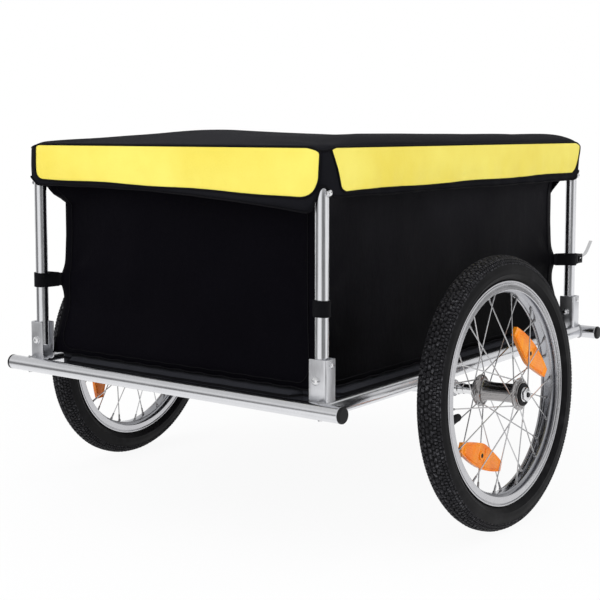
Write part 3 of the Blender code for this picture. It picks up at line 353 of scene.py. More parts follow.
SIDEWALL = rubber_finish(
    "sidewall_rubber", (0.002, 0.0019, 0.0025), (0.004, 0.0038, 0.0047), (0.0085, 0.0081, 0.0095), 60.0, 0.52
)
BLACK_PLASTIC = plastic_finish("black_plastic", (0.005, 0.005, 0.006), (0.012, 0.012, 0.013))
SEAL = plastic_finish("seal_rubber", (0.004, 0.004, 0.005), (0.009, 0.009, 0.01), 0.55)
TUB_CLOTH = cloth_finish(
    "tub_cloth", (0.0018, 0.0016, 0.0026), (0.004, 0.0036, 0.0056), 0.42, folds=0.0016, gloss=0.012, source="UV"
)
# The side walls' cloth, with a painted sheen: darker towards the bottom of each side wall and paler towards its top.
SIDE_WALL_CLOTH_PAINTED_SHEEN = cloth_finish(
    "tub_side_cloth_painted_sheen", (0.0004, 0.0004, 0.0006), (0.0105, 0.01, 0.0125), 0.42, folds=0.0016, gloss=0.012,
    source="UV", painted_sheen=0.42
)
COVER_CLOTH = cloth_finish("black_cover_cloth", (0.006, 0.006, 0.0078), (0.013, 0.013, 0.016), 0.75, gloss=0.03)
YELLOW_CLOTH = cloth_finish(
    "yellow_side_cloth", (0.86, 0.69, 0.075), (0.97, 0.85, 0.16), 0.66, 0.2, folds=0.0016, mottle=9.0
)
GREY_CLOTH = cloth_finish("grey_floor_edge", (0.014, 0.0145, 0.019), (0.034, 0.035, 0.042), 0.7, 0.05, gloss=0.06)
BINDING = cloth_finish(
    "black_binding", (0.003, 0.003, 0.004), (0.008, 0.0075, 0.009), 0.7, pitch=0.0008, folds=0.0004, gloss=0.05
)
WEBBING = webbing_finish("strap_webbing", (0.0012, 0.0012, 0.0018), (0.007, 0.0068, 0.0088))
AMBER = reflector_finish(
    "amber_lens", (0.0, (0.62, 0.085, 0.001)), (0.5, (0.92, 0.215, 0.002)), (1.0, (1.0, 0.35, 0.006))
)


# Shapes


def finished(work, name, finish, body, node=None, sharp=38, merge=0.00001, wall=0.0, offset=-1, edge=0.0):
    """Makes a worked mesh into a piece on its body, in place of a node, with soft shading between its sharp edges."""
    bmesh.ops.remove_doubles(work, verts=work.verts, dist=merge)
    bmesh.ops.recalc_face_normals(work, faces=work.faces)
    mesh = bpy.data.meshes.new(name)
    work.to_mesh(mesh)
    work.free()
    mesh.polygons.foreach_set("use_smooth", [True] * len(mesh.polygons))
    mesh.set_sharp_from_angle(angle=radians(sharp))
    mesh.materials.append(finish)
    piece = linked(name, mesh)
    if wall:
        thick = piece.modifiers.new("wall", "SOLIDIFY")
        thick.thickness = wall
        thick.offset = offset
    if edge:
        rounded = piece.modifiers.new("edge", "BEVEL")
        rounded.width = edge
        rounded.segments = 2
        rounded.limit_method = "ANGLE"
    if body:
        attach(piece, body)
    if node:
        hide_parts(node)
    return piece


def merged(parts):
    """Joins several worked meshes into one."""
    whole = bmesh.new()
    for part in parts:
        mesh = bpy.data.meshes.new("part")
        part.to_mesh(mesh)
        part.free()
        whole.from_mesh(mesh)
        bpy.data.meshes.remove(mesh)
    return whole


def changed(work, matrix):
    bmesh.ops.transform(work, matrix=matrix, verts=work.verts)
    return work


def moved(work, move):
    return changed(work, Matrix.Translation(move))


def turn_z(angle):
    return Matrix.Rotation(angle, 4, "Z")


def facing(centre, axis, up=None):
    """The turn and move that put a shape built about +Z onto centre, facing along axis."""
    forward = Vector(axis).normalized()
    turn = forward.to_track_quat("Z", "Y").to_matrix()
    if up is not None:
        across = Vector(up).cross(forward).normalized()
        turn = Matrix((across, forward.cross(across), forward)).transposed()
    return Matrix.Translation(Vector(centre)) @ turn.to_4x4()


def placed(work, centre, axis, up=None):
    return changed(work, facing(centre, axis, up))


def eased(work, geom, size, segments, affect="EDGES"):
    """Rounds edges, or corners when affect is VERTICES."""
    bmesh.ops.bevel(work, geom=geom, offset=size, segments=segments, profile=0.5, affect=affect, material=-1)
    return work


def turned(profile, steps, closed=False):
    """Turns (radius, height) points, in millimetres, about +Z."""
    work = bmesh.new()
    verts = [work.verts.new((radius * MM, 0, height * MM)) for radius, height in profile]
    edges = [work.edges.new(pair) for pair in zip(verts, verts[1:])]
    if closed:
        edges.append(work.edges.new((verts[-1], verts[0])))
    bmesh.ops.spin(
        work, geom=verts + edges, cent=(0, 0, 0), axis=(0, 0, 1), angle=2 * pi, steps=steps, use_merge=True
    )
    bmesh.ops.remove_doubles(work, verts=work.verts, dist=0.000001)
    return work


def drawn(work, ring):
    """Draws new points and a new ring out of a ring of edges."""
    made = bmesh.ops.extrude_edge_only(work, edges=ring)["geom"]
    fresh = {part for part in made if isinstance(part, bmesh.types.BMVert)}
    return fresh, [edge for edge in work.edges if fresh.issuperset(edge.verts)]


def run_on(work, ring, move):
    """Draws an open ring of edges along by move."""
    fresh, ring = drawn(work, ring)
    bmesh.ops.translate(work, vec=move, verts=list(fresh))
    return ring


def straight_run(work, ring, move):
    """Draws a ring along a straight length, with a ring close to each end to keep its shading straight."""
    margin = move.normalized() * min(0.0012, move.length / 4)
    for stage in (margin, move - 2 * margin, margin):
        ring = run_on(work, ring, stage)
    return ring


def bent_tube(points, radius, sides, bend=0.0, steps=12):
    """A round tube along points, bent to one radius at each corner and open at both ends."""
    points = [Vector(point) for point in points]
    work = bmesh.new()
    start = facing(points[0], points[1] - points[0])
    bmesh.ops.create_circle(work, segments=sides, radius=radius, cap_ends=False, matrix=start)
    ring = list(work.edges)
    used = 0.0
    for here, corner, after in zip(points, points[1:], points[2:] + [None]):
        along = (corner - here).normalized()
        length = (corner - here).length - used
        if after is None:
            straight_run(work, ring, along * length)
            break
        onward = (after - corner).normalized()
        angle = along.angle(onward)
        used = bend * tan(angle / 2)
        ring = straight_run(work, ring, along * (length - used))
        axis = along.cross(onward).normalized()
        centre = corner - along * used + axis.cross(along) * bend
        verts = list({vert for edge in ring for vert in edge.verts})
        swung = bmesh.ops.spin(
            work, geom=verts + ring, cent=centre, axis=axis, angle=angle, steps=steps, use_merge=False
        )["geom_last"]
        ring = [part for part in swung if isinstance(part, bmesh.types.BMEdge)]
    return work


def swept(paths, radius, closed=False, resolution=3):
    """Round cord along each path of points; a fourth number scales its radius there."""
    curve = bpy.data.curves.new("path", "CURVE")
    curve.dimensions = "3D"
    curve.bevel_depth = radius
    curve.bevel_resolution = resolution
    curve.use_fill_caps = True
    for path in paths:
        spline = curve.splines.new("POLY")
        spline.points.add(len(path) - 1)
        for point, place in zip(spline.points, path):
            point.co = (*place[:3], 1)
            point.radius = place[3] if len(place) > 3 else 1.0
        spline.use_cyclic_u = closed
    holder = bpy.data.objects.new("path", curve)
    mesh = bpy.data.meshes.new_from_object(holder)
    work = bmesh.new()
    work.from_mesh(mesh)
    bpy.data.objects.remove(holder)
    bpy.data.curves.remove(curve)
    bpy.data.meshes.remove(mesh)
    return work


def block(size, edge=0.0, segments=2):
    """A rectangular block about the origin with rounded edges, in millimetres."""
    work = bmesh.new()
    bmesh.ops.create_cube(work, size=MM)
    bmesh.ops.scale(work, vec=size, verts=work.verts)
    return eased(work, list(work.edges), edge * MM, segments) if edge else work


def prism(outline, height):
    """A flat outline of (x, y) points raised by height about z 0, in millimetres."""
    work = bmesh.new()
    face = work.faces.new([work.verts.new((x * MM, y * MM, -height / 2 * MM)) for x, y in outline])
    raised = bmesh.ops.extrude_face_region(work, geom=[face, *face.edges])["geom"]
    verts = [part for part in raised if isinstance(part, bmesh.types.BMVert)]
    bmesh.ops.translate(work, vec=(0, 0, height * MM), verts=verts)
    return work


def hexagon(across, low, high, bevel=0.6):
    """A six-sided head, across its corners, from low to high on +Z, in millimetres."""
    work = bmesh.new()
    radius = across / 2 * MM
    bmesh.ops.create_cone(
        work, cap_ends=True, segments=6, radius1=radius, radius2=radius, depth=(high - low) * MM,
        matrix=Matrix.Translation((0, 0, (low + high) / 2 * MM))
    )
    return eased(work, list(work.edges), bevel * MM, 2)


def domed(radius, low, rise):
    """A round domed head on +Z, in millimetres."""
    arc = [
        (radius * cos(angle), low + rise * 0.35 + rise * 0.65 * sin(angle))
        for angle in angles(7, pi / 2)
    ]
    return turned([(0, low), (radius, low), *arc, (0, low + rise)], 32)


def washer(outer, inner, low, high):
    """A flat ring with one cut edge, in millimetres."""
    lip = (high - low) * 0.3
    return turned([(inner, low), (outer, low), (outer, high - lip), (outer - lip, high), (inner, high)], 32, True)


def through_bolt(centre, way, reach, outer, inner, shank=None):
    """A bolt through centre: its outer end along way and its inner end against it, with (radius, half, sides)."""
    way = Vector(way)
    parts = [placed(merged(outer), centre + way * reach, way), placed(merged(inner), centre - way * reach, -way)]
    if shank:
        radius, half, sides = shank
        parts.append(bent_tube([centre - way * half, centre + way * half], radius, sides))
    return merged(parts)


def folded(points, draw, bend, near_corners, far_corners):
    """A plate with two bends: four points drawn wide by draw; each bend or corner is given as (size, segments)."""
    work = bmesh.new()
    verts = [work.verts.new(point) for point in points]
    for pair in zip(verts, verts[1:]):
        work.edges.new(pair)
    line = list(work.edges)
    run_on(work, line, draw)
    sides = [next(edge for edge in vert.link_edges if edge not in line) for vert in verts]
    ends = [(verts[spot], sides[spot].other_vert(verts[spot])) for spot in (0, 3)]
    eased(work, sides[1:3], *bend)
    for (size, segments), corners in zip((near_corners, far_corners), zip(*ends)):
        eased(work, list(corners), size, segments, "VERTICES")
    return work


def grid_sheet(columns, rows, place, size):
    """A sheet whose points come from place(u, v), u and v from 0 to 1, mapped at its flat size in metres."""
    work = bmesh.new()
    plan = work.loops.layers.uv.new("plan")
    bmesh.ops.create_grid(work, x_segments=columns, y_segments=rows, size=0.5)
    for face in work.faces:
        for loop in face.loops:
            loop[plan].uv = ((loop.vert.co.x + 0.5) * size[0], (loop.vert.co.y + 0.5) * size[1])
    for vert in work.verts:
        vert.co = place(vert.co.x + 0.5, vert.co.y + 0.5)
    return work


# Base frame, brackets and hoops


def weld_ring(x, y, toward):
    """A rippled weld bead where a side rail meets a cross tube, on the rail's side."""
    reach = 0.0112
    path = []
    for step, angle in enumerate(angles(64)):
        out = reach * cos(angle)
        path.append((*on_box(x + out, y + toward * abs(out), BASE_Z + reach * sin(angle)),
                     1 + 0.22 * sin(step * 2.4)))
    return path


def build_base():
    for name, end in ENDS:
        tube = bent_tube([on_box(side * CROSS_END, end * CROSS_Y, BASE_Z) for side in (-1, 1)], BASE_R, 40)
        finished(tube, f"base_cross_tube_{name}", TUBE, "base", f"cross_tube_{name}", wall=TUBE_WALL)
    half = CROSS_Y - BASE_R * 0.55
    for name, side in SIDES:
        rail = bent_tube([on_box(side * RAIL_X, end * half, BASE_Z) for end in (-1, 1)], BASE_R, 40)
        finished(rail, f"base_side_rail_{name}", TUBE, "base", f"side_rail_{name}")
    beads = []
    for name, _, side, end in POSTS:
        beads.append(weld_ring(side * RAIL_X, end * CROSS_Y, -end))
        cap = turned(
            [(0, -13), (9.1, -13), (9.1, 0.3), (11.0, 0.3), (11.2, 1.0), (11.0, 3.0), (9.8, 4.4), (6.0, 4.9), (0, 5.0)],
            40
        )
        placed(cap, on_box(side * CROSS_END, end * CROSS_Y, BASE_Z), (side, 0, 0))
        finished(cap, f"tube_end_cap_{name}", BLACK_PLASTIC, "base", f"end_cap_{name}")
    finished(swept(beads, 0.0016, closed=True), "rail_welds", WELD, "base")


def bracket_shape(side, end):
    """A folded channel, open inboard, with rounded bends and its lower inboard corners cut round."""
    line = [(-0.012, -0.0111), (0.0143, -0.0111), (0.0143, 0.0111), (-0.012, 0.0111)]
    points = [(x, y, BRACKET_LOW) for x, y in line]
    work = folded(points, (0, 0, BRACKET_HIGH - BRACKET_LOW), (0.003, 5), (0.0075, 5), (0.0015, 3))
    bmesh.ops.scale(work, vec=(side, 1, 1), verts=work.verts)
    return moved(work, on_box(side * POST_X, end * POST_Y, 0))


def pivot_hardware(side, end):
    """Washer and domed nut outside the channel, and a round head with a socket inside."""
    socket = turned([(0, 2.1), (1.7, 2.1), (1.9, 4.0), (3.6, 3.7), (5.2, 2.2), (5.4, 0.6), (5.4, 0), (0, 0)], 36)
    outside = [washer(6.2, 2.8, 0.0, 1.0), moved(socket, (0, 0, MM))]
    inside = [hexagon(10.5, 0.0, 4.0), domed(4.0, 3.8, 3.0), washer(6.0, 2.8, -0.2, 0.8)]
    centre = on_box(side * POST_X, end * POST_Y, PIVOT_Z)
    return through_bolt(centre, (0, end, 0), POST_R + 0.0026, outside, inside, (0.0029, 0.013, 20))


def build_brackets():
    for name, _, side, end in POSTS:
        finished(
            bracket_shape(side, end), f"post_bracket_{name}", PLATE, "base", f"bracket_{name}", sharp=60,
            wall=0.0019, offset=0, edge=PLATE_EDGE
        )
        finished(pivot_hardware(side, end), f"pivot_screw_{name}", BRIGHT, "base", f"pivot_bolt_{name}")
        stop = merged([washer(4.2, 1.5, 0.0, 0.7), domed(3.4, 0.6, 2.4)])
        placed(stop, on_box(side * (POST_X + 0.0153), end * POST_Y, PIVOT_Z + 0.0205), (side, 0, 0))
        finished(stop, f"stop_rivet_{name}", BRIGHT, "base")
        foot = [
            (*on_box(side * (POST_X + reach), end * (POST_Y + 0.012), 0.2272), 1 + 0.2 * sin(reach * 5200))
            for reach in (-0.004 + 0.0006 * step for step in range(30))
        ]
        finished(swept([foot], 0.0014), f"bracket_weld_{name}", WELD, "base")


def build_hoops():
    for name, side in SIDES:
        foot = PIVOT_Z - 0.008
        corners = [(-POST_Y, foot), (-POST_Y, HOOP_TOP), (POST_Y, HOOP_TOP), (POST_Y, foot)]
        hoop = bent_tube([on_box(side * POST_X, y, z) for y, z in corners], POST_R, 40, HOOP_BEND, 14)
        finished(hoop, f"side_hoop_{name}", TUBE, f"hoop_{name}", f"hoop_{name}", wall=TUBE_WALL)
    for name, side_name, side, end in POSTS:
        nut = [washer(5.6, 2.2, 0.0, 0.8), hexagon(10.2, 0.7, 3.6), domed(4.2, 3.4, 2.6)]
        head = [washer(5.2, 2.2, 0.0, 0.8), domed(4.0, 0.7, 2.6)]
        centre = on_box(side * POST_X, end * POST_Y, HOOP_SCREW_Z)
        work = through_bolt(centre, (side, 0, 0), POST_R - 0.0004, nut, head, (0.0022, 0.008, 16))
        finished(work, f"hoop_nut_{name}", BRIGHT, f"hoop_{side_name}", f"hoop_screw_{name}")


# Wheels


def hub_place(side):
    """A hub's centre, and the outboard direction of its axle, which points a little up and back."""
    outboard = Vector((
        side * cos(WHEEL_LEAN) * cos(WHEEL_TOE_OUT), -cos(WHEEL_LEAN) * sin(WHEEL_TOE_OUT),
        sin(WHEEL_LEAN)
    ))
    return on_box(side * WHEEL_X, WHEEL_Y, AXLE_Z), outboard


def on_wheel(work, side):
    """From a wheel drawn about +Z to its place, with its +Z outboard and its +Y up."""
    return changed(work, facing(*hub_place(side)) @ turn_z(LEFT_WHEEL_TURN if side < 0 else 0))


# Half sections in millimetres, as (radius, distance from the wheel's middle plane)
CASING = (
    (197.7, 0), (197.4, 4.5), (196.2, 8.8), (194.0, 12.8), (190.4, 16.0), (188.0, 17.4), (187.6, 18.1), (186.8, 18.3),
    (186.0, 18.4), (181.0, 19.6), (176.8, 19.9), (173.0, 19.4), (172.2, 19.6), (171.4, 19.0), (168.8, 17.4),
    (166.4, 15.2), (164.8, 13.4), (163.8, 12.3), (162.5, 11.8), (156.0, 11.6), (153.5, 9.6), (156.0, 8.6),
    (164.0, 10.6), (170.0, 15.8), (177.0, 17.4), (185.0, 15.4), (191.2, 10.4), (194.0, 0)
)
RIM_SIDE = (
    (161.8, 12.2), (162.7, 12.6), (163.0, 13.4), (162.7, 14.3), (161.8, 14.6), (161.0, 14.5), (160.3, 13.6),
    (160.1, 12.4), (159.3, 12.4), (159.1, 13.6), (158.6, 14.0), (152.6, 14.1), (151.4, 14.5), (150.1, 14.6),
    (149.3, 14.0), (150.0, 11.9)
)
RIM_BED = (
    (149.3, 14.0), (149.8, 13.1), (151.6, 12.4), (152.6, 11.2), (152.4, 9.6), (150.0, 8.4), (146.8, 7.4), (145.5, 6.0),
    (145.1, 4.0), (145.0, 1.6)
)
RIM_INSIDE = ((146.2, 4.2), (147.4, 6.4), (150.8, 7.4), (153.2, 9.2), (153.4, 11.8))
HUB = (
    (14.2, 37.8), (17.2, 37.8), (18.0, 37.0), (18.2, 35.2), (19.2, 34.2), (22.2, 33.8), (23.3, 33.0), (23.5, 32.0),
    (23.0, 30.9), (19.6, 30.2), (17.2, 29.0), (15.4, 26.4), (14.3, 22.8), (13.8, 18.0), (13.6, 10.0), (13.6, 0)
)
HUB_BORE = ((14.2, -30), (8.5, -30), (8.5, 30), (14.2, 30))
SEAL_RING = (
    (6.4, 28.8), (13.9, 28.8), (13.9, 37.9), (16.0, 38.0), (16.5, 38.7), (16.1, 39.5), (14.2, 40.0), (13.4, 39.1),
    (9.8, 39.1), (9.0, 39.8), (6.4, 39.8)
)
# Rows of tread: radius, distance, count, shift in steps, block, skew and lean
TREAD_ROWS = (
    (198.6, 3.1, 132, 0.0, (7.2, 4.2, 2.4), 0.16, 0.06),
    (196.9, 8.3, 132, 0.5, (6.8, 4.2, 2.6), -0.34, 0.32),
    (194.7, 12.4, 236, 0.0, (3.7, 4.6, 2.4), 0.1, 0.58),
    (191.1, 15.8, 236, 0.5, (3.7, 4.2, 2.0), -0.1, 0.86),
    (187.8, 17.8, 118, 0.0, (8.0, 2.4, 1.4), 0.0, 1.05),
)
# Reflectors: degrees round the wheel, distance of the lens from the hub, its own turn and its place along the axle
REFLECTOR_PLACES = ((-123.0, 0.099, 8.0, -0.0034), (31.0, 0.09, 18.0, 0.0062))
UPRIGHT = Matrix(((0, 0, 1, 0), (1, 0, 0, 0), (0, 1, 0, 0), (0, 0, 0, 1)))


def mirrored(section):
    """The other half of a section, from its far end back."""
    return tuple((radius, -across) for radius, across in section[::-1])


def tread_knob(radius, across, angle, size, skew, lean):
    """One block of the tread, narrower at its top, standing on the casing."""
    work = block(size)
    for vert in work.verts:
        taper = 0.88 if vert.co.z > 0 else 1.1
        vert.co = Vector((vert.co.x * taper, vert.co.y * taper, vert.co.z))
    lift = Matrix.Translation((radius * MM, 0, across * MM))
    return changed(work, turn_z(angle) @ lift @ Matrix.Rotation(-lean, 4, "Y") @ UPRIGHT @ turn_z(skew))


def tyre_tread():
    """Rows of small blocks: two pairs on the crown, and finer ones down each shoulder."""
    knobs = []
    for radius, across, count, shift, size, skew, lean in TREAD_ROWS:
        for step in range(count):
            for face in (1, -1):
                angle = 2 * pi * (step + shift + (0.25 if face < 0 else 0)) / count
                knobs.append(tread_knob(radius, across * face, angle, size, skew * face, lean * face))
    return merged(knobs)


def rim_walls():
    """Both side walls of the rim: a rolled edge, a dark groove and a brushed track with a raised lip."""
    return merged([turned([(radius, across * face) for radius, across in RIM_SIDE], 144, True) for face in (1, -1)])


def spokes():
    """The spokes with their heads in the flanges, and their nipples in the rim."""
    pitch = 2 * pi / SPOKES_A_SIDE
    wires = []
    nipples = []
    heads = []
    for face in (1, -1):
        for hole in range(SPOKES_A_SIDE):
            base = hole * pitch + (0 if face > 0 else pitch / 2)
            trailing = 1 if hole % 2 == 0 else -1
            far = base + trailing * 2 * pitch
            start = Vector((0.02 * cos(base), 0.02 * sin(base), face * 0.032 + 0.0019 * trailing))
            end = Vector((0.1446 * cos(far), 0.1446 * sin(far), face * 0.004))
            along = (end - start).normalized()
            elbow = Vector((start.x, start.y, face * 0.032 - 0.0022 * trailing))
            wires.append([elbow, elbow.lerp(start, 0.85), start + along * 0.0012, end - along * 0.006])
            nipple = turned(
                [(0, -11.5), (1.15, -11.5), (1.5, -10.5), (1.6, -3.0), (2.3, -2.2), (2.4, 0.6), (0, 0.6)], 10
            )
            nipples.append(placed(nipple, end, along))
            head = turned([(0, -0.4), (1.7, -0.4), (1.6, 0.4), (0.9, 1.0), (0, 1.1)], 10)
            heads.append(placed(head, elbow, (0, 0, -trailing)))
    return merged([swept(wires, 0.00095, resolution=2), *heads]), merged(nipples)


def reflector_outline(shrink=0.0, low=-1.0, high=1.0):
    """A long lens: bowed on its rim side, two straight runs on its hub side, and short cut ends."""
    rim_side = []
    hub_side = []
    for step in range(17):
        share = low + (high - low) * step / 16
        across = share * (58 - shrink)
        rim_side.append((across, 18 * (1 - 0.5 * share ** 2) - shrink))
        hub_side.append((across, -18 * (1 - 0.72 * (share * share + 0.004) ** 0.62) + shrink))
    return rim_side + hub_side[::-1]


def build_reflector(side_name, side, number, place):
    degrees, radius, lean, out = place
    body = prism(reflector_outline(), 5.6)
    bmesh.ops.recalc_face_normals(body, faces=body.faces)
    flats = [face for face in body.faces if abs(face.normal.z) > 0.9]
    bmesh.ops.inset_individual(body, faces=flats, thickness=0.0018, depth=-0.001, use_even_offset=True)
    parts = [body]
    for low, high in ((-0.9, -0.14), (0.14, 0.9)):
        field = prism(reflector_outline(3.4, low, high), 4.9)
        flat = [edge for edge in field.edges if abs(edge.verts[0].co.z - edge.verts[1].co.z) < 0.0001]
        parts.append(eased(field, flat, 0.0004, 2))
    heads = []
    for face in (1, -1):
        boss = turned([(1.9, -1.0), (6.8, -1.0), (6.8, 1.0), (6.2, 1.5), (3.6, 1.5), (3.0, 0.6), (1.9, 0.4)], 28, True)
        parts.append(placed(boss, (0, 0, face * 0.0018), (0, 0, face)))
        heads.append(placed(domed(3.4, -0.6, 2.0), (0, 0, face * 0.0022), (0, 0, face)))
    spot = turn_z(radians(degrees - 90)) @ Matrix.Translation((0, radius, out)) @ turn_z(radians(lean))
    name = f"reflector_{number}_{side_name}"
    lens, screws = [on_wheel(changed(merged(group), spot), side) for group in (parts, heads)]
    finished(lens, f"spoke_{name}", AMBER, f"wheel_{side_name}", name, sharp=30)
    finished(screws, f"screw_of_{name}", BLACK_PLASTIC, f"wheel_{side_name}")


def tube_and_valve():
    """The tube inside the tyre, and its valve with a knurled cap."""
    tube = turned([(178 + 12.4 * cos(angle), 12.3 * sin(angle)) for angle in angles(14)], 72, True)
    stem = turned(
        [(0, -1.0), (5.0, -1.0), (4.0, 6.0), (3.7, 21.0), (3.4, 33.0), (3.4, 33.8), (4.6, 34.0), (5.1, 35.2),
         (5.1, 49.0), (4.6, 51.6), (3.0, 52.8), (0, 53.0)], 24
    )
    ribs = [changed(moved(block((0.9, 1.0, 13.0)), (0.005, 0, 0.042)), turn_z(angle)) for angle in angles(14)]
    angle = radians(-172)
    outward = Vector((cos(angle), sin(angle), 0))
    return merged([tube, placed(merged([stem, *ribs]), outward * 0.1665, -outward)])


def build_wheel(side_name, side):
    wires, nipples = spokes()
    body = f"wheel_{side_name}"
    for work, name, finish, node, slot, sharp in (
        (turned(CASING + mirrored(CASING[1:-1]), 128, True), "tyre_casing", SIDEWALL, "tyre", "rubber", 30),
        (tyre_tread(), "tyre_tread", TREAD, None, "rubber", 30),
        (rim_walls(), "rim_walls", ALLOY, "rim", "alloy", 24),
        (turned(RIM_BED + mirrored(RIM_BED) + mirrored(RIM_INSIDE) + RIM_INSIDE, 144, True),
         "rim_bed", RIM_BED_METAL, None, "alloy", 24),
        (turned(HUB + mirrored(HUB[:-1]) + HUB_BORE, 64, True), "hub_shell", HUB_METAL, "spoked_hub", "bright", 30),
        (wires, "spokes", SPOKE_METAL, None, "bright", 38),
        (nipples, "nipples", NIPPLE_METAL, None, "bright", 38),
        (tube_and_valve(), "tube_and_valve", SEAL, "inner_tube", "tube", 38),
    ):
        node = f"{node}_{side_name}" if node else None
        finished(on_wheel(work, side), f"{name}_{side_name}", finish, body, node, sharp)
    for name, face in ((f"outer_{side_name}", 1), (f"inner_{side_name}", -1)):
        seal = turned([(radius, across * face) for radius, across in SEAL_RING], 48, True)
        finished(on_wheel(seal, side), f"dust_seal_{name}", SEAL, body, f"bearing_{name}", 30)
    for number, place in enumerate(REFLECTOR_PLACES, 1):
        build_reflector(side_name, side, number, place)


def build_axle(side_name, side):
    """The push-button axle: pin, inboard shoulder and a hexagon head with a bored centre."""
    pin = turned(
        [(0, -161.6), (4.4, -161.6), (5.8, -159.4), (6.0, -157.4), (6.0, -76.6), (8.8, -76.4), (9.4, -75.6),
         (9.4, -69.0), (8.1, -68.2), (8.1, -60.0), (7.2, -59.2), (7.2, -50.0), (8.1, -49.4), (8.1, -41.0),
         (6.0, -40.8), (6.0, 40.8), (0, 40.8)], 40
    )
    skirt = turned([(5.8, 40.0), (10.4, 40.0), (10.7, 40.5), (10.4, 41.1), (5.8, 41.1)], 40, True)
    crown = turned([(4.1, 44.4), (8.0, 44.4), (7.4, 45.6), (5.4, 46.1), (4.3, 45.6)], 40, True)
    button = turned([(0, 40.4), (3.6, 40.4), (3.6, 46.8), (3.1, 47.6), (2.2, 47.3), (0, 47.1)], 28)
    work = placed(merged([pin, skirt, hexagon(21.2, 40.8, 45.2, 1.0), crown]), *hub_place(side))
    finished(work, f"axle_pin_{side_name}", BRIGHT, f"axle_{side_name}", f"axle_{side_name}", 30)
    placed(button, *hub_place(side))
    name = f"release_button_{side_name}"
    finished(button, f"axle_button_{side_name}", BLACK_PLASTIC, f"button_{side_name}", name)


def build_carrier():
    """The tube under the rails that both axles plug into, bent up and back at its ends."""
    ends = []
    corners = []
    fittings = []
    for _, side in SIDES:
        centre, outboard = hub_place(side)
        start = centre - outboard * 0.0767
        ends.append(start)
        corners.append(start - outboard * 0.10205)
        sleeve = turned(
            [(6.4, -6.0), (10.8, -6.0), (10.8, -0.4), (12.2, -0.4), (12.4, 0), (12.2, 0.6), (6.4, 0.6)], 36, True
        )
        fittings.append(placed(sleeve, start - outboard * 0.0006, outboard))
        spot = start - outboard * ((start.x - side * 0.261) / outboard.x)
        gusset = prism([(-16.5, -11.0), (16.5, -11.0), (11.0, 12.5), (-11.0, 12.5)], 3.0)
        upright = [edge for edge in gusset.edges if abs(edge.verts[0].co.z - edge.verts[1].co.z) > 0.001]
        eased(gusset, upright, 0.004, 4)
        fittings.append(placed(gusset, spot + Vector((0, 0, 0.0085)), (1, 0, 0), (0, 0, 1)))
    tube = bent_tube([ends[0], corners[0], corners[1], ends[1]], 0.0119, 40, 0.06, 6)
    finished(tube, "axle_tube", TUBE, "base", "axle_carrier", wall=0.0013)
    finished(merged(fittings), "axle_tube_fittings", PLATE, "base")


# Drawbar and hitch

DRAWBAR_X = -0.185
DRAWBAR_PIVOT = on_box(DRAWBAR_X, 0.4383, BASE_Z)
DRAWBAR_BEND = 0.12
HITCH_Z = 0.27743
JAW_HALF = 0.0148
JAW_TIP = 0.0975
CLEVIS_HALF = 0.0138
CLEVIS_TIP = 0.0445


def build_drawbar():
    """The drawbar's tube with its flexible block, and where the hitch starts."""
    rise = radians(26)
    cut = DRAWBAR_BEND * tan(rise / 2)
    first = DRAWBAR_PIVOT + Vector((0, 0.385 + cut, 0))
    second = first + Vector((0, cos(rise), sin(rise))) * (2 * cut + 0.07 / cos(rise))
    end = second + Vector((0, cut + 0.03, 0))
    tube = bent_tube([DRAWBAR_PIVOT - Vector((0, 0.0128, 0)), first, second, end], 0.0125, 40, DRAWBAR_BEND, 14)
    finished(tube, "drawbar_tube", TUBE, "drawbar", "drawbar", wall=0.0018)
    flex = [(0, -24), (10.2, -24), (10.2, 0.3), (13.8, 0.3), (14.5, 1.0)]
    for z in range(8, 48, 8):
        flex += [(14.5, z - 2.0), (12.0, z), (12.0, z + 2.2), (14.5, z + 4.0)]
    flex += [(14.5, 50.8), (13.6, 52.0), (0, 52.0)]
    work = placed(turned(flex, 44), end, (0, 1, 0))
    finished(work, "flexible_block", BLACK_PLASTIC, "drawbar", "hitch_block", 30)
    return end.y + 0.0535


def build_hitch(start):
    """The fork, its bolt and the locking pin with a ring."""
    line = [(-CLEVIS_HALF, CLEVIS_TIP), (-CLEVIS_HALF, 0), (CLEVIS_HALF, 0), (CLEVIS_HALF, CLEVIS_TIP)]
    points = [(DRAWBAR_X + x, start + y, HITCH_Z - 0.012) for x, y in line]
    work = folded(points, (0, 0, 0.024), (0.004, 5), (0.0105, 6), (0.0105, 6))
    finished(work, "hitch_clevis", PLATE, "drawbar", "hitch_fork", 60, wall=0.0024, offset=0, edge=PLATE_EDGE)
    bolt = merged([washer(8.5, 3.0, 0.0, 1.4), hexagon(13.0, 1.3, 6.0)])
    placed(bolt, (DRAWBAR_X, start + 0.0012, HITCH_Z), (0, 1, 0))
    finished(bolt, "clevis_bolt", BRIGHT, "drawbar")
    pin = turned(
        [(0, -23.0), (2.6, -23.0), (3.9, -21.2), (3.9, 15.3), (8.0, 15.3), (8.5, 16.0), (8.5, 18.2), (7.8, 19.6),
         (5.0, 20.4), (0, 20.6)], 32
    )
    ring = [
        (-0.0188 + 0.0022 * sin(angle), 0.0072 * cos(angle), -0.006 + 0.0072 * sin(angle))
        for angle in angles(32)
    ]
    work = merged([placed(pin, (0, 0, 0), (1, 0, 0)), swept([ring], 0.0007, closed=True)])
    moved(work, (DRAWBAR_X, start + 0.032, HITCH_Z))
    finished(work, "locking_pin", BRIGHT, "hitch_pin", "hitch_pin")


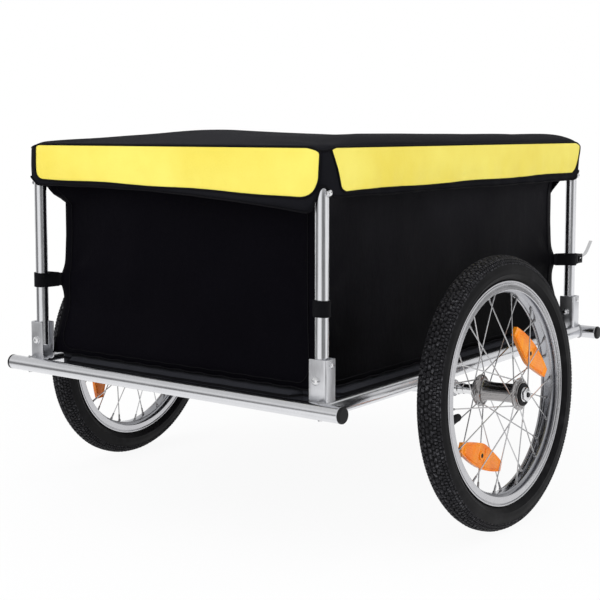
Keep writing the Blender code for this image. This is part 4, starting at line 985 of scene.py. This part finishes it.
def build_jaw():
    """The folded bracket that holds the drawbar to the front tube, and its bolt."""
    back = DRAWBAR_PIVOT.y - 0.029
    line = [(JAW_TIP, JAW_HALF), (back, JAW_HALF), (back, -JAW_HALF), (JAW_TIP, -JAW_HALF)]
    points = [(DRAWBAR_X - 0.015, y, BASE_Z + z) for y, z in line]
    work = folded(points, (0.03, 0, 0), (0.005, 5), (0.008, 5), (0.008, 5))
    finished(work, "drawbar_jaw", PLATE, "base", "drawbar_bracket", 60, wall=0.0024, offset=0, edge=PLATE_EDGE)
    top = [washer(7.8, 3.0, 0.0, 1.0), hexagon(13.0, 0.9, 5.6), domed(4.6, 5.4, 2.4)]
    low = [washer(7.2, 3.0, 0.0, 0.8), hexagon(12.5, 0.7, 4.6)]
    work = through_bolt(DRAWBAR_PIVOT, (0, 0, 1), 0.0161, top, low)
    finished(work, "jaw_bolt", BRIGHT, "base", "drawbar_bolt")


# Cloth tub


def wall_point(half_length, half_away, along, rise, seed, ears):
    """A point of a tub wall that faces +Y: along from -1 to 1, rise from 0 to 1, with its slack and folds."""
    x = along * half_length
    z = WALL_LOW + WALL_RISE * rise
    above = z - STRAP_Z
    ear = ears[1 if along > 0 else 0] * clamp((z - 0.47) / 0.026) * (1 - 0.7 * ramp(z, 0.5, 0.52))
    tied = 0.0048 * exp(-(above / 0.016) ** 2) * ramp(abs(along), 0.9, 1.0)
    edge = at_level(WALL_LEVELS, z) - ear * ramp(abs(along), 0.8, 1.0) - tied
    bow = cos(along * pi / 2)
    free = bow ** 0.5 if abs(along) < 1 else 0.0
    slack = cloudy(x * 5.5, z * 5.0, seed) * 0.0034 + cloudy(x * 15.0 + 4.0, z * 10.0, seed) * 0.0016
    reach = hypot(x - copysign(half_length, along), above * 1.3)
    angle = atan2(above, half_length - abs(x) + 0.0001)
    pull = 0.0016 * cos(angle * 9.0 + seed) * exp(-((reach - 0.05) / 0.055) ** 2)
    calm = sin(pi * clamp(rise)) ** 0.6
    out = half_away - max(edge, 0.0125) + 0.004 * sin(pi * rise) * bow + (slack + pull) * free * calm
    hem = 0.0011 * sin(x * 150 + seed) * (1 - ramp(rise, 0.0, 0.06))
    return Vector((along * (half_length - edge - 0.0004), out, z + max(hem, -0.0004)))


def seam_spots(half_length):
    """Where a stitched seam runs inside a wall's edge, with rounded lower corners, as (along, rise)."""
    width = 1 - SEAM_IN / half_length
    low = SEAM_IN * 0.55 / WALL_RISE
    bend_u = SEAM_BEND / half_length
    bend_v = SEAM_BEND / WALL_RISE
    spots = [(-width, 1.0 - 0.04 * step) for step in range(int((1 - low - bend_v) / 0.04))]
    for angle in angles(8, pi / 2) + [pi / 2]:
        spots.append((-width + bend_u * (1 - cos(angle)), low + bend_v * (1 - sin(angle))))
    count = 40
    reach = width - bend_u
    spots += [(-reach + 2 * reach * step / count, low) for step in range(1, count)]
    return spots + [(-along, rise) for along, rise in spots[:-count + 1][::-1]]


def hold_wall(piece, kind):
    """End walls go on the base with a mesh of their own; side walls have their placing baked into their mesh and go on
    no body.
    """
    if kind == "end":
        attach(piece, "base")
        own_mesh(piece)
    else:
        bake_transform(piece)


def build_walls():
    walls = [("end", name, POST_X, POST_Y, 0 if sign > 0 else pi, 72, TUB_CLOTH) for name, sign in ENDS]
    walls += [("side", name, POST_Y, POST_X, -sign * pi / 2, 96, SIDE_WALL_CLOTH_PAINTED_SHEEN) for name, sign in SIDES]
    for number, (kind, label, length, away, angle, columns, cloth) in enumerate(walls):
        seed = 3.7 + number * 11.3
        turn = Matrix.Translation((0, BOX_Y, 0)) @ turn_z(angle)
        flat = (2 * length - 0.045, WALL_RISE)
        ears = {"rear": (0.015, 0.029), "right": (0.004, 0.015)}.get(label, (0.015, 0.015))

        def sewn(along, rise):
            return wall_point(length, away, along, rise, seed, ears)

        name = f"{kind}_wall_{label}"
        work = changed(grid_sheet(columns, 48, lambda u, v: sewn(u * 2 - 1, v), flat), turn)
        piece = finished(work, f"tub_{name}", cloth, None, name, wall=CLOTH_WALL)
        hems = [[sewn(step / 60 * 2 - 1, rise) for step in range(61)] for rise in (0.004, 0.994)]
        seam = [sewn(*spot) + Vector((0, 0.0004, 0)) for spot in seam_spots(length)]
        cords = merged([swept([seam], 0.0007, resolution=2), swept(hems, 0.0013, resolution=2)])
        trim = finished(changed(cords, turn), f"tub_seams_{kind}_{label}", BINDING, None)
        hold_wall(piece, kind)
        hold_wall(trim, kind)


def rim_spots(half_x, half_y, corner, gap):
    """Points and outward directions round a rectangle with round corners, from the middle of the box."""
    spots = []
    for turn in range(4):
        along, away = ((half_y, half_x), (half_x, half_y))[turn % 2]
        basis = Matrix.Rotation(turn * pi / 2, 2)
        run = along - corner
        count = max(2, int(2 * run / gap))
        for step in range(count):
            spots.append((basis @ Vector((away, -run + 2 * run * step / count)), basis @ Vector((1, 0))))
        for angle in angles(6, pi / 2):
            outward = Vector((cos(angle), sin(angle)))
            spots.append((basis @ (Vector((away - corner, run)) + outward * corner), basis @ outward))
    return spots


def band_round(spots, rows, place):
    """Draws a closed line of spots through rows; place(spot, outward, row) gives each point."""
    work = bmesh.new()
    tag = work.verts.layers.int.new("spot")
    verts = []
    for number, spot in enumerate(spots):
        verts.append(work.verts.new(place(*spot, 0)))
        verts[-1][tag] = number
    ring = [work.edges.new(pair) for pair in zip(verts, verts[1:] + verts[:1])]
    for row in range(1, rows):
        fresh, ring = drawn(work, ring)
        for vert in fresh:
            vert.co = place(*spots[vert[tag]], row)
    return work


def build_floor():
    half_x = POST_X - 0.0215
    half_y = POST_Y - 0.0215

    def board(u, v):
        x = (u * 2 - 1) * (half_x - 0.004)
        y = (v * 2 - 1) * (half_y - 0.004)
        rise = 0.0068 * (1 - ramp(min(half_x - abs(x), half_y - abs(y)), 0.003, 0.018))
        return on_box(x, y, 0.2266 + rise + cloudy(x * 9, y * 9, 7.0) * 0.0006)

    work = grid_sheet(64, 90, board, (2 * half_x, 2 * half_y))
    floor = finished(work, "floor_board", TUB_CLOTH, "base", "floor_panel", wall=0.0034)

    spots = rim_spots(half_x, half_y, 0.012, 0.01)
    # (how far out, height) of each row, down over the base tubes
    levels = (
        (-0.0035, 0.2352), (0.0, 0.2351), (0.006, 0.2335), (0.012, 0.231), (0.018, 0.2285), (0.0215, 0.2262),
        (0.0228, 0.2225), (0.0232, 0.219)
    )

    def slope(spot, outward, row):
        out, z = levels[row]
        out += 0.0006 * sin((spot.x * 21 + spot.y * 17) * 5) * (row > 3)
        sag = 0.0007 * cloudy(spot.x * 20, spot.y * 20, row * 0.4) * (0 < row < 5)
        if hypot(half_x - abs(spot.x), half_y - abs(spot.y)) < 0.024:
            out = min(out, 0.004 if row > 1 else out)
        elif abs(outward.x) > 0.5:
            out = min(out, 0.019)
        return on_box(spot.x + outward.x * out, spot.y + outward.y * out, z + sag)

    grey = finished(band_round(spots, len(levels), slope), "grey_edge", GREY_CLOTH, "base", wall=0.0014)
    # A thin black cord along the grey edge, just above the base tubes: a painted shadow line where the edge meets the
    # tubes.
    seam = [(*slope(*spot, 5)[:2], 0.2276) for spot in spots]
    finished(swept([seam], 0.0017, closed=True, resolution=2), "grey_edge_painted_shadow_line", BINDING, "base")


# Straps and buckle


def strap_route(inward):
    """The strap's line in plan: from the tub's corner round the post and back."""
    tie = inward * 0.0185 * sqrt(2)
    radius = 0.0112
    open_by = acos(radius / tie.length)
    first = atan2(tie.y, tie.x) + open_by
    sweep = 2 * pi - 2 * open_by
    round_post = [first + angle for angle in angles(24, sweep) + [sweep]]
    return [tie, *(Vector((radius * cos(angle), radius * sin(angle))) for angle in round_post), tie]


def along_route(route, share):
    lengths = [(b - a).length for a, b in zip(route, route[1:])]
    want = share * sum(lengths)
    for start, finish, length in zip(route, route[1:], lengths):
        if want <= length:
            return start.lerp(finish, want / length)
        want -= length
    return route[-1]


def build_straps():
    for name, side_name, side, end in POSTS:
        inward = Vector((-side, -end)).normalized()
        route = strap_route(inward)
        post = on_box(side * POST_X, end * POST_Y, STRAP_Z)

        def loop(u, v):
            spot = along_route(route, u)
            droop = 0.0006 * sin(u * pi * 2) + 0.0004 * sin(v * pi)
            return post + Vector((spot.x, spot.y, (v - 0.5) * STRAP_WIDE + droop))

        body = f"hoop_{side_name}"
        work = grid_sheet(60, 6, loop, (0.09, STRAP_WIDE))
        finished(
            work, f"webbing_{name}", WEBBING, body, f"post_strap_{name}", merge=0.0, wall=0.0015, offset=0
        )
        tab = changed(block((12.0, 3.0, 20.0), 0.9), turn_z(atan2(inward.y, inward.x)))
        moved(tab, post + inward.to_3d() * 0.027)
        finished(tab, f"strap_tab_{name}", BINDING, body)


def build_buckle():
    """A ladder of plastic bars behind the front right post, and the metal lever that stands out of it."""
    start = on_box(POST_X, POST_Y + 0.0122, STRAP_Z)
    bars = [
        moved(block((16.8, wide, tall), 1.2, 3), (0, y, z))
        for y, z, wide, tall in ((0.003, 0.0, 4.6, 19.0), (0.013, 0.0, 3.4, 15.0), (0.0225, 0.0005, 5.0, 14.0))
    ]
    bars += [moved(block((2.2, 24.0, 3.4), 0.9), (x, 0.0125, z)) for x in (-0.0074, 0.0074) for z in (-0.007, 0.0062)]
    work = moved(merged(bars), start)
    finished(work, "ladder_buckle", BLACK_PLASTIC, "hoop_right", "strap_buckle")
    line = ((12.0, 1.0), (22.5, 2.5), (32.0, 4.5), (42.0, 6.8), (50.3, 12.0), (59.0, 20.5), (67.1, 28.2))
    route = [Vector(point) * MM for point in line]

    def lever(u, v):
        spot = along_route(route, u)
        return start + Vector((0.005 + (v - 0.5) * 0.006, spot.x, spot.y))

    work = grid_sheet(40, 6, lever, (0.07, 0.006))
    finished(work, "buckle_lever", BRIGHT, "hoop_right", merge=0.0, wall=0.0026, edge=0.0006)


# Cover


def corner_drop(x, y):
    """How far the cover sinks at its four corners, where nothing holds it up."""
    return 0.0054 * (1 - ramp(hypot(COVER_X - abs(x), COVER_Y - abs(y)), 0.004, 0.027))


def settled(x, y, z):
    """The height of a point of the hanging sides, lowered near the top of each corner."""
    return z - corner_drop(x, y) * ramp(z, 0.505, COVER_TOP - COVER_ROLL)


def cover_top(x, y):
    """Height of the cover's top: steep along the right and front, rising slowly to a swell from the rear left."""
    share = 1.0
    for gap, reach in ((COVER_X - x, 0.05), (COVER_Y - y, 0.036)):
        share *= 1 - (1 - clamp(gap / reach)) ** 2
    swell = COVER_CROWN + 0.0085 * exp(-((x + 0.12) / 0.14) ** 2 - ((y + 0.2) / 0.15) ** 2)
    slope = 0.1125 * min(COVER_X + x, COVER_Y + y)
    crown = (slope + swell - hypot(slope - swell, 0.002)) / 2 * share
    folds = cloudy(x * 5.0, y * 4.0, 1.7) * 0.0022 + cloudy(x * 11.0 + y * 4.0, y * 12.0, 9.1) * 0.001
    for corner_x in (-COVER_X, COVER_X):
        for corner_y in (-COVER_Y, COVER_Y):
            dx = x - corner_x
            dy = y - corner_y
            near = exp(-((hypot(dx, dy) - 0.07) / 0.05) ** 2)
            folds += 0.001 * cos(atan2(dy, dx) * 14) * near
    edge = clamp(min(COVER_X - abs(x), COVER_Y - abs(y)) / 0.02)
    return COVER_TOP + crown - corner_drop(x, y) + folds * edge


def hang(spot, outward, z):
    """A point of the cover's hanging side below its rolled edge, with its ripples."""
    drop = ramp(COVER_TOP - z, 0.008, 0.06)
    along = spot.x + spot.y * 1.3
    ripple = cloudy(along * 24, z * 9, 2.0) * 0.0022 + cloudy(along * 60, z * 14, 5.0) * 0.001
    out = (ripple - 0.001) * drop + 0.001 * sin(pi * drop)
    return on_box(spot.x + outward.x * out, spot.y + outward.y * out, z)


def hem_z(spot):
    """The hem rises at each corner, dips behind towards the right, and waves a little between the corners."""
    away = max(COVER_X - abs(spot.x), COVER_Y - abs(spot.y))
    share = spot.x / 0.25
    dip = (0.0113 * share + 0.0078 * share * share) * ramp(-spot.y, COVER_Y - 0.012, COVER_Y - 0.002)
    low = COVER_HEM - dip + 0.0012 * cloudy(spot.x * 13, spot.y * 13, 3.0)
    return low + (COVER_NOTCH - low) * (1 - ramp(away, 0.005, 0.026))


def rounded_spot(x, y, half_x, half_y, corner):
    """Moves a point near a rectangle's corner into its rounding, and gives the outward direction there."""
    side = Vector((1 if x > 0 else -1, 1 if y > 0 else -1))
    dx = abs(x) - (half_x - corner)
    dy = abs(y) - (half_y - corner)
    if dx > 0 and dy > 0:
        outward = Vector((dx, dy)).normalized()
        return (Vector((half_x - corner, half_y - corner)) + outward * max(dx, dy)) * side, outward * side
    if half_x - abs(x) < half_y - abs(y):
        return Vector((x, y)), Vector((side.x, 0))
    return Vector((x, y)), Vector((0, side.y))


def build_cover():
    inner_x = COVER_X - COVER_ROLL
    inner_y = COVER_Y - COVER_ROLL
    work = bmesh.new()
    bmesh.ops.create_grid(work, x_segments=80, y_segments=112, size=1.0)
    home = work.verts.layers.float_vector.new("home")
    away = work.verts.layers.float_vector.new("away")
    for vert in work.verts:
        x, y = [share + 0.06 * sin(pi * share) / pi for share in vert.co[:2]]
        spot, outward = rounded_spot(inner_x * x, inner_y * y, inner_x, inner_y, COVER_CORNER - COVER_ROLL)
        vert[home] = (*spot, 0)
        vert[away] = (*outward, 0)
        vert.co = on_box(*spot, cover_top(*spot))
    ring = [edge for edge in work.edges if edge.is_boundary]
    for angle in (radians(22), radians(45), radians(68), radians(90)):
        fresh, ring = drawn(work, ring)
        for vert in fresh:
            start, outward = vert[home].to_2d(), vert[away].to_2d()
            z = settled(*(start + outward * COVER_ROLL), COVER_TOP - COVER_ROLL * (1 - cos(angle)))
            vert.co = on_box(*(start + outward * COVER_ROLL * sin(angle)), z)
    falls = (0.01, 0.016, 0.023, 0.031, 0.039, 0.047, 0.055, None)
    for row, fall in enumerate(falls):
        fresh, ring = drawn(work, ring)
        for vert in fresh:
            outward = vert[away].to_2d()
            rim = vert[home].to_2d() + outward * COVER_ROLL
            low = hem_z(rim)
            z = low if fall is None else max(COVER_TOP - fall, low + 0.0006 * (len(falls) - row))
            vert.co = hang(rim, outward, settled(*rim, z))
    cover = finished(work, "cover_cloth", COVER_CLOTH, "cover", "cover", 60, wall=CLOTH_WALL)
    smooth = cover.modifiers.new("smooth", "SUBSURF")
    smooth.levels = 1
    smooth.render_levels = 1
    cover.modifiers.move(1, 0)
    edge = [
        on_box(*spot, settled(*spot, COVER_TOP - 0.0022))
        for spot, outward in rim_spots(COVER_X - 0.0016, COVER_Y - 0.0016, COVER_CORNER, 0.012)
    ]
    hem = [
        hang(spot, outward, hem_z(spot) + 0.0006)
        for spot, outward in rim_spots(COVER_X, COVER_Y, COVER_CORNER, 0.008)
    ]
    work = merged([swept([edge], 0.0019, closed=True), swept([hem], 0.0014, closed=True)])
    trim = finished(work, "cover_piping", BINDING, "cover")


PANEL_TOP = 0.5588
PANELS = (
    # side, quarter turn, half length, ends (set in at the top, set in below, corner), lower edge (middle, slope, bow)
    ("rear", 0, COVER_X, (0.02, 0.02, 0.013), (0.007, 0.0095, 0.03), (0.5002, -0.007, -0.002)),
    ("right", 1, COVER_Y, (0.014, 0.04, 0.0085), (0.008, 0.029, 0.011), (0.5025, 0.0025, 0.0)),
    ("front", 2, COVER_X, (0.012, 0.018, 0.016), (0.012, 0.018, 0.016), (0.501, 0.0, 0.0)),
    ("left", 3, COVER_Y, (0.012, 0.024, 0.014), (0.012, 0.024, 0.014), (0.501, 0.0, 0.0)),
)


def panel_spot(turn, half, along, z, out):
    """A point on one side of the cover, out in front of its cloth, along from the side's middle."""
    basis = Matrix.Rotation((turn - 1) * pi / 2, 2)
    away = COVER_Y if turn % 2 == 0 else COVER_X
    over = abs(along) - (half - COVER_CORNER)
    outward = Vector((1, 0))
    spot = Vector((away, along))
    if over > 0:
        angle = copysign(over / COVER_CORNER, along)
        outward = Vector((cos(angle), sin(angle)))
        spot = Vector((away - COVER_CORNER, copysign(half - COVER_CORNER, along))) + outward * COVER_CORNER
    spot = basis @ spot
    outward = basis @ outward
    rolled = clamp((z - COVER_TOP) / COVER_ROLL + 1)
    out -= COVER_ROLL * (1 - sqrt(1 - rolled * rolled))
    return hang(spot, outward, settled(*spot, z)) + outward.to_3d() * out


def panel_outline(half, low_end, high_end, low_edge, across, rise):
    """Maps a square onto a panel with slanted ends, rounded corners and a sloping lower edge; gives (along, z)."""
    middle, slope, bow = low_edge
    base = middle + slope * across + bow * across * across + 0.0007 * sin(across * 9 + half * 20)
    top_in, low_in, corner = high_end if across > 0 else low_end
    reach = half - (low_in + (top_in - low_in) * rise)
    along = across * reach
    z = base + (PANEL_TOP - base) * rise
    for level, sign, size in ((base, -1, corner), (PANEL_TOP, 1, 0.0045)):
        dx = abs(along) - (reach - size)
        dz = (z - level) * sign + size
        if dx > 0 and dz > 0:
            grow = max(dx, dz) / hypot(dx, dz)
            along = copysign(reach - size + dx * grow, across)
            z = level + (dz * grow - size) * sign
    return along, z


def build_panels():
    for name, turn, half, low_end, high_end, low_edge in PANELS:
        def sewn(across, rise, out):
            return panel_spot(turn, half, *panel_outline(half, low_end, high_end, low_edge, across, rise), out)

        height = PANEL_TOP - low_edge[0]
        columns = 132 if half > 0.3 else 96
        work = grid_sheet(columns, 18, lambda u, v: sewn(u * 2 - 1, v, 0.0007), (2 * half, height))
        piece = finished(work, f"yellow_panel_{name}", YELLOW_CLOTH, "cover", sharp=60)
        spots = [(-1, 1 - step / 16) for step in range(16)] + [(step / 80 * 2 - 1, 0) for step in range(80)]
        spots += [(1, step / 16) for step in range(17)] + [(1 - step / 80 * 2, 1) for step in range(1, 80)]
        work = swept([[sewn(*spot, 0.0006) for spot in spots]], 0.0016, closed=True, resolution=2)
        binding = finished(work, f"panel_binding_{name}", BINDING, "cover")


for wheel_side, wheel_sign in SIDES:
    build_wheel(wheel_side, wheel_sign)
    build_axle(wheel_side, wheel_sign)
build_base()
build_brackets()
build_hoops()
build_carrier()
build_hitch(build_drawbar())
build_jaw()
build_floor()
build_walls()
build_straps()
build_buckle()
build_cover()
build_panels()


# Floor, light and camera

# The studio's unlit sides: direction, and where each starts and is full
LEFT_FLAG = ((-0.71, -0.71, 0), 0.86, 0.96)
NEAR_FLAG = ((0.86, -0.51, 0), 0.84, 0.95)
FAR_FLAG = ((0.52, 0.85, 0), 0.88, 0.96)
SENSOR = 36.0
FOCAL_PIXELS = 1238.97
PICTURE_PIXELS = 600


def rays(tree, kind):
    return tree.nodes.new("ShaderNodeLightPath").outputs[f"Is {kind} Ray"]


def unlit_sides(tree, vector, nearer, flags):
    """From 0 to 1, the unlit sides of the studio, which only reflections see."""
    way = add(tree, "VectorMath", {0: vector}, "Vector", "NORMALIZE")
    lobes = [
        spread(tree, add(tree, "VectorMath", {0: way, 1: side}, "Value", "DOT_PRODUCT"), 0.0, 1.0, low, high)
        for side, low, high in flags
    ]
    dark = sums(tree, sums(tree, *lobes), nearer, rays(tree, "Glossy"), 0.8, kind="MULTIPLY")
    return sums(tree, 1.0, dark, kind="SUBTRACT")


def show_background(tree, near, far, share, output):
    """Shows the far shader by share to the rays that see the background: straight, mirrored or through glass."""
    seen = sums(tree, *(rays(tree, kind) for kind in ("Camera", "Glossy", "Transmission")))
    mix = add(tree, "MixShader", {"Fac": sums(tree, seen, share, kind="MULTIPLY"), 1: near, 2: far}, "Shader")
    feed(tree, tree.nodes[output], {"Surface": mix})


def floor_finish():
    """Pale studio floor that whitens with distance, with a painted dark reflection: a dark strip behind the trailer
    that only glossy rays see, so only metal mirrors it.
    """
    finish, tree, shader, place = blank_finish("studio_floor")
    shade = grain(tree, place["Object"], 3.0, 3.0, 0.5)
    centred = add(tree, "Mapping", {"Location": (0, -BOX_Y, 0), "Vector": place["Object"]}, "Vector")
    y = add(tree, "SeparateXYZ", {"Vector": centred}, "Y")
    # Painted dark reflection: the floor's colour is darkened in a strip behind the trailer for glossy rays only.
    painted_dark_reflection = sums(
        tree, spread(tree, y, 0.0, 1.0, -0.72, -0.6), spread(tree, y, 1.0, 0.0, -0.52, -0.46), rays(tree, "Glossy"),
        0.86, kind="MULTIPLY"
    )
    pale = tint(tree, shade, (0.0, (0.9, 0.9, 0.905)), (1.0, (0.93, 0.93, 0.93)))
    left = sums(tree, 1.0, painted_dark_reflection, kind="SUBTRACT")
    feed(tree, shader, {
        "Base Color": add(tree, "VectorMath", {"Vector": pale, "Scale": left}, "Vector", "SCALE"), "Roughness": 0.9,
        "Specular IOR Level": 0.1
    })
    away = add(tree, "VectorMath", {0: centred}, "Value", "LENGTH")
    lit = unlit_sides(tree, centred, spread(tree, away, 0.0, 1.0, 0.9, 1.4), (LEFT_FLAG, NEAR_FLAG))
    glow = add(tree, "Emission", {"Strength": lit}, "Emission")
    show_background(tree, shader.outputs["BSDF"], glow, spread(tree, away, 0.93, 1.0, 0.7, 2.0), "Material Output")
    return finish


def build_stage():
    work = bmesh.new()
    bmesh.ops.create_grid(work, x_segments=1, y_segments=1, size=14.0)
    finished(work, "studio_floor", floor_finish(), None)

    world = bpy.data.worlds.new("studio")
    bpy.context.scene.world = world
    world.use_nodes = True
    tree = world.node_tree
    soft = tree.nodes["Background"]
    feed(tree, soft, {"Color": (0.95, 0.97, 1.0, 1), "Strength": 0.62})
    place = tree.nodes.new("ShaderNodeTexCoord").outputs["Generated"]
    z = add(tree, "SeparateXYZ", {"Vector": place}, "Z")
    sides = unlit_sides(tree, place, spread(tree, z, 1.0, 0.0, 0.02, 0.3), (LEFT_FLAG, NEAR_FLAG, FAR_FLAG))
    strength = sums(tree, sides, spread(tree, z, 1.0, 0.66, 0.14, 0.55), kind="MULTIPLY")
    white = add(tree, "Background", {"Color": (1, 1, 1, 1), "Strength": strength}, "Background")
    show_background(tree, soft.outputs["Background"], white, 1.0, "World Output")

    middle = on_box(0, 0, 0.3)
    for name, place, size, power in (
        ("lamp_left", (-2.2, -2.7, 2.3), 4.4, 92),
        ("lamp_right", (2.9, -0.7, 1.8), 3.0, 33),
        ("lamp_top", (0.2, 0.3, 3.0), 3.0, 30),
    ):
        light = bpy.data.lights.new(name, "AREA")
        light.shape = "SQUARE"
        light.size = size
        light.energy = power
        lamp = linked(name, light)
        lamp.visible_glossy = False
        lamp.location = on_box(*place)
        lamp.rotation_mode = "QUATERNION"
        lamp.rotation_quaternion = (middle - lamp.location).to_track_quat("-Z", "Y")


def build_camera():
    """The photograph's view: from behind on the right, a little above the cover."""
    data = bpy.data.cameras.new("camera")
    data.sensor_width = SENSOR
    data.lens = SENSOR * FOCAL_PIXELS / PICTURE_PIXELS
    data.shift_y = -0.1
    data.clip_start = 0.05
    data.clip_end = 60
    camera = linked("camera", data)
    camera.location = (1.1888, -2.0355, 0.5801)
    camera.rotation_euler = (radians(90 - 5.067), 0, radians(36.457))
    bpy.context.scene.camera = camera


build_stage()
build_camera()
view = bpy.context.scene.view_settings
view.view_transform = "Standard"
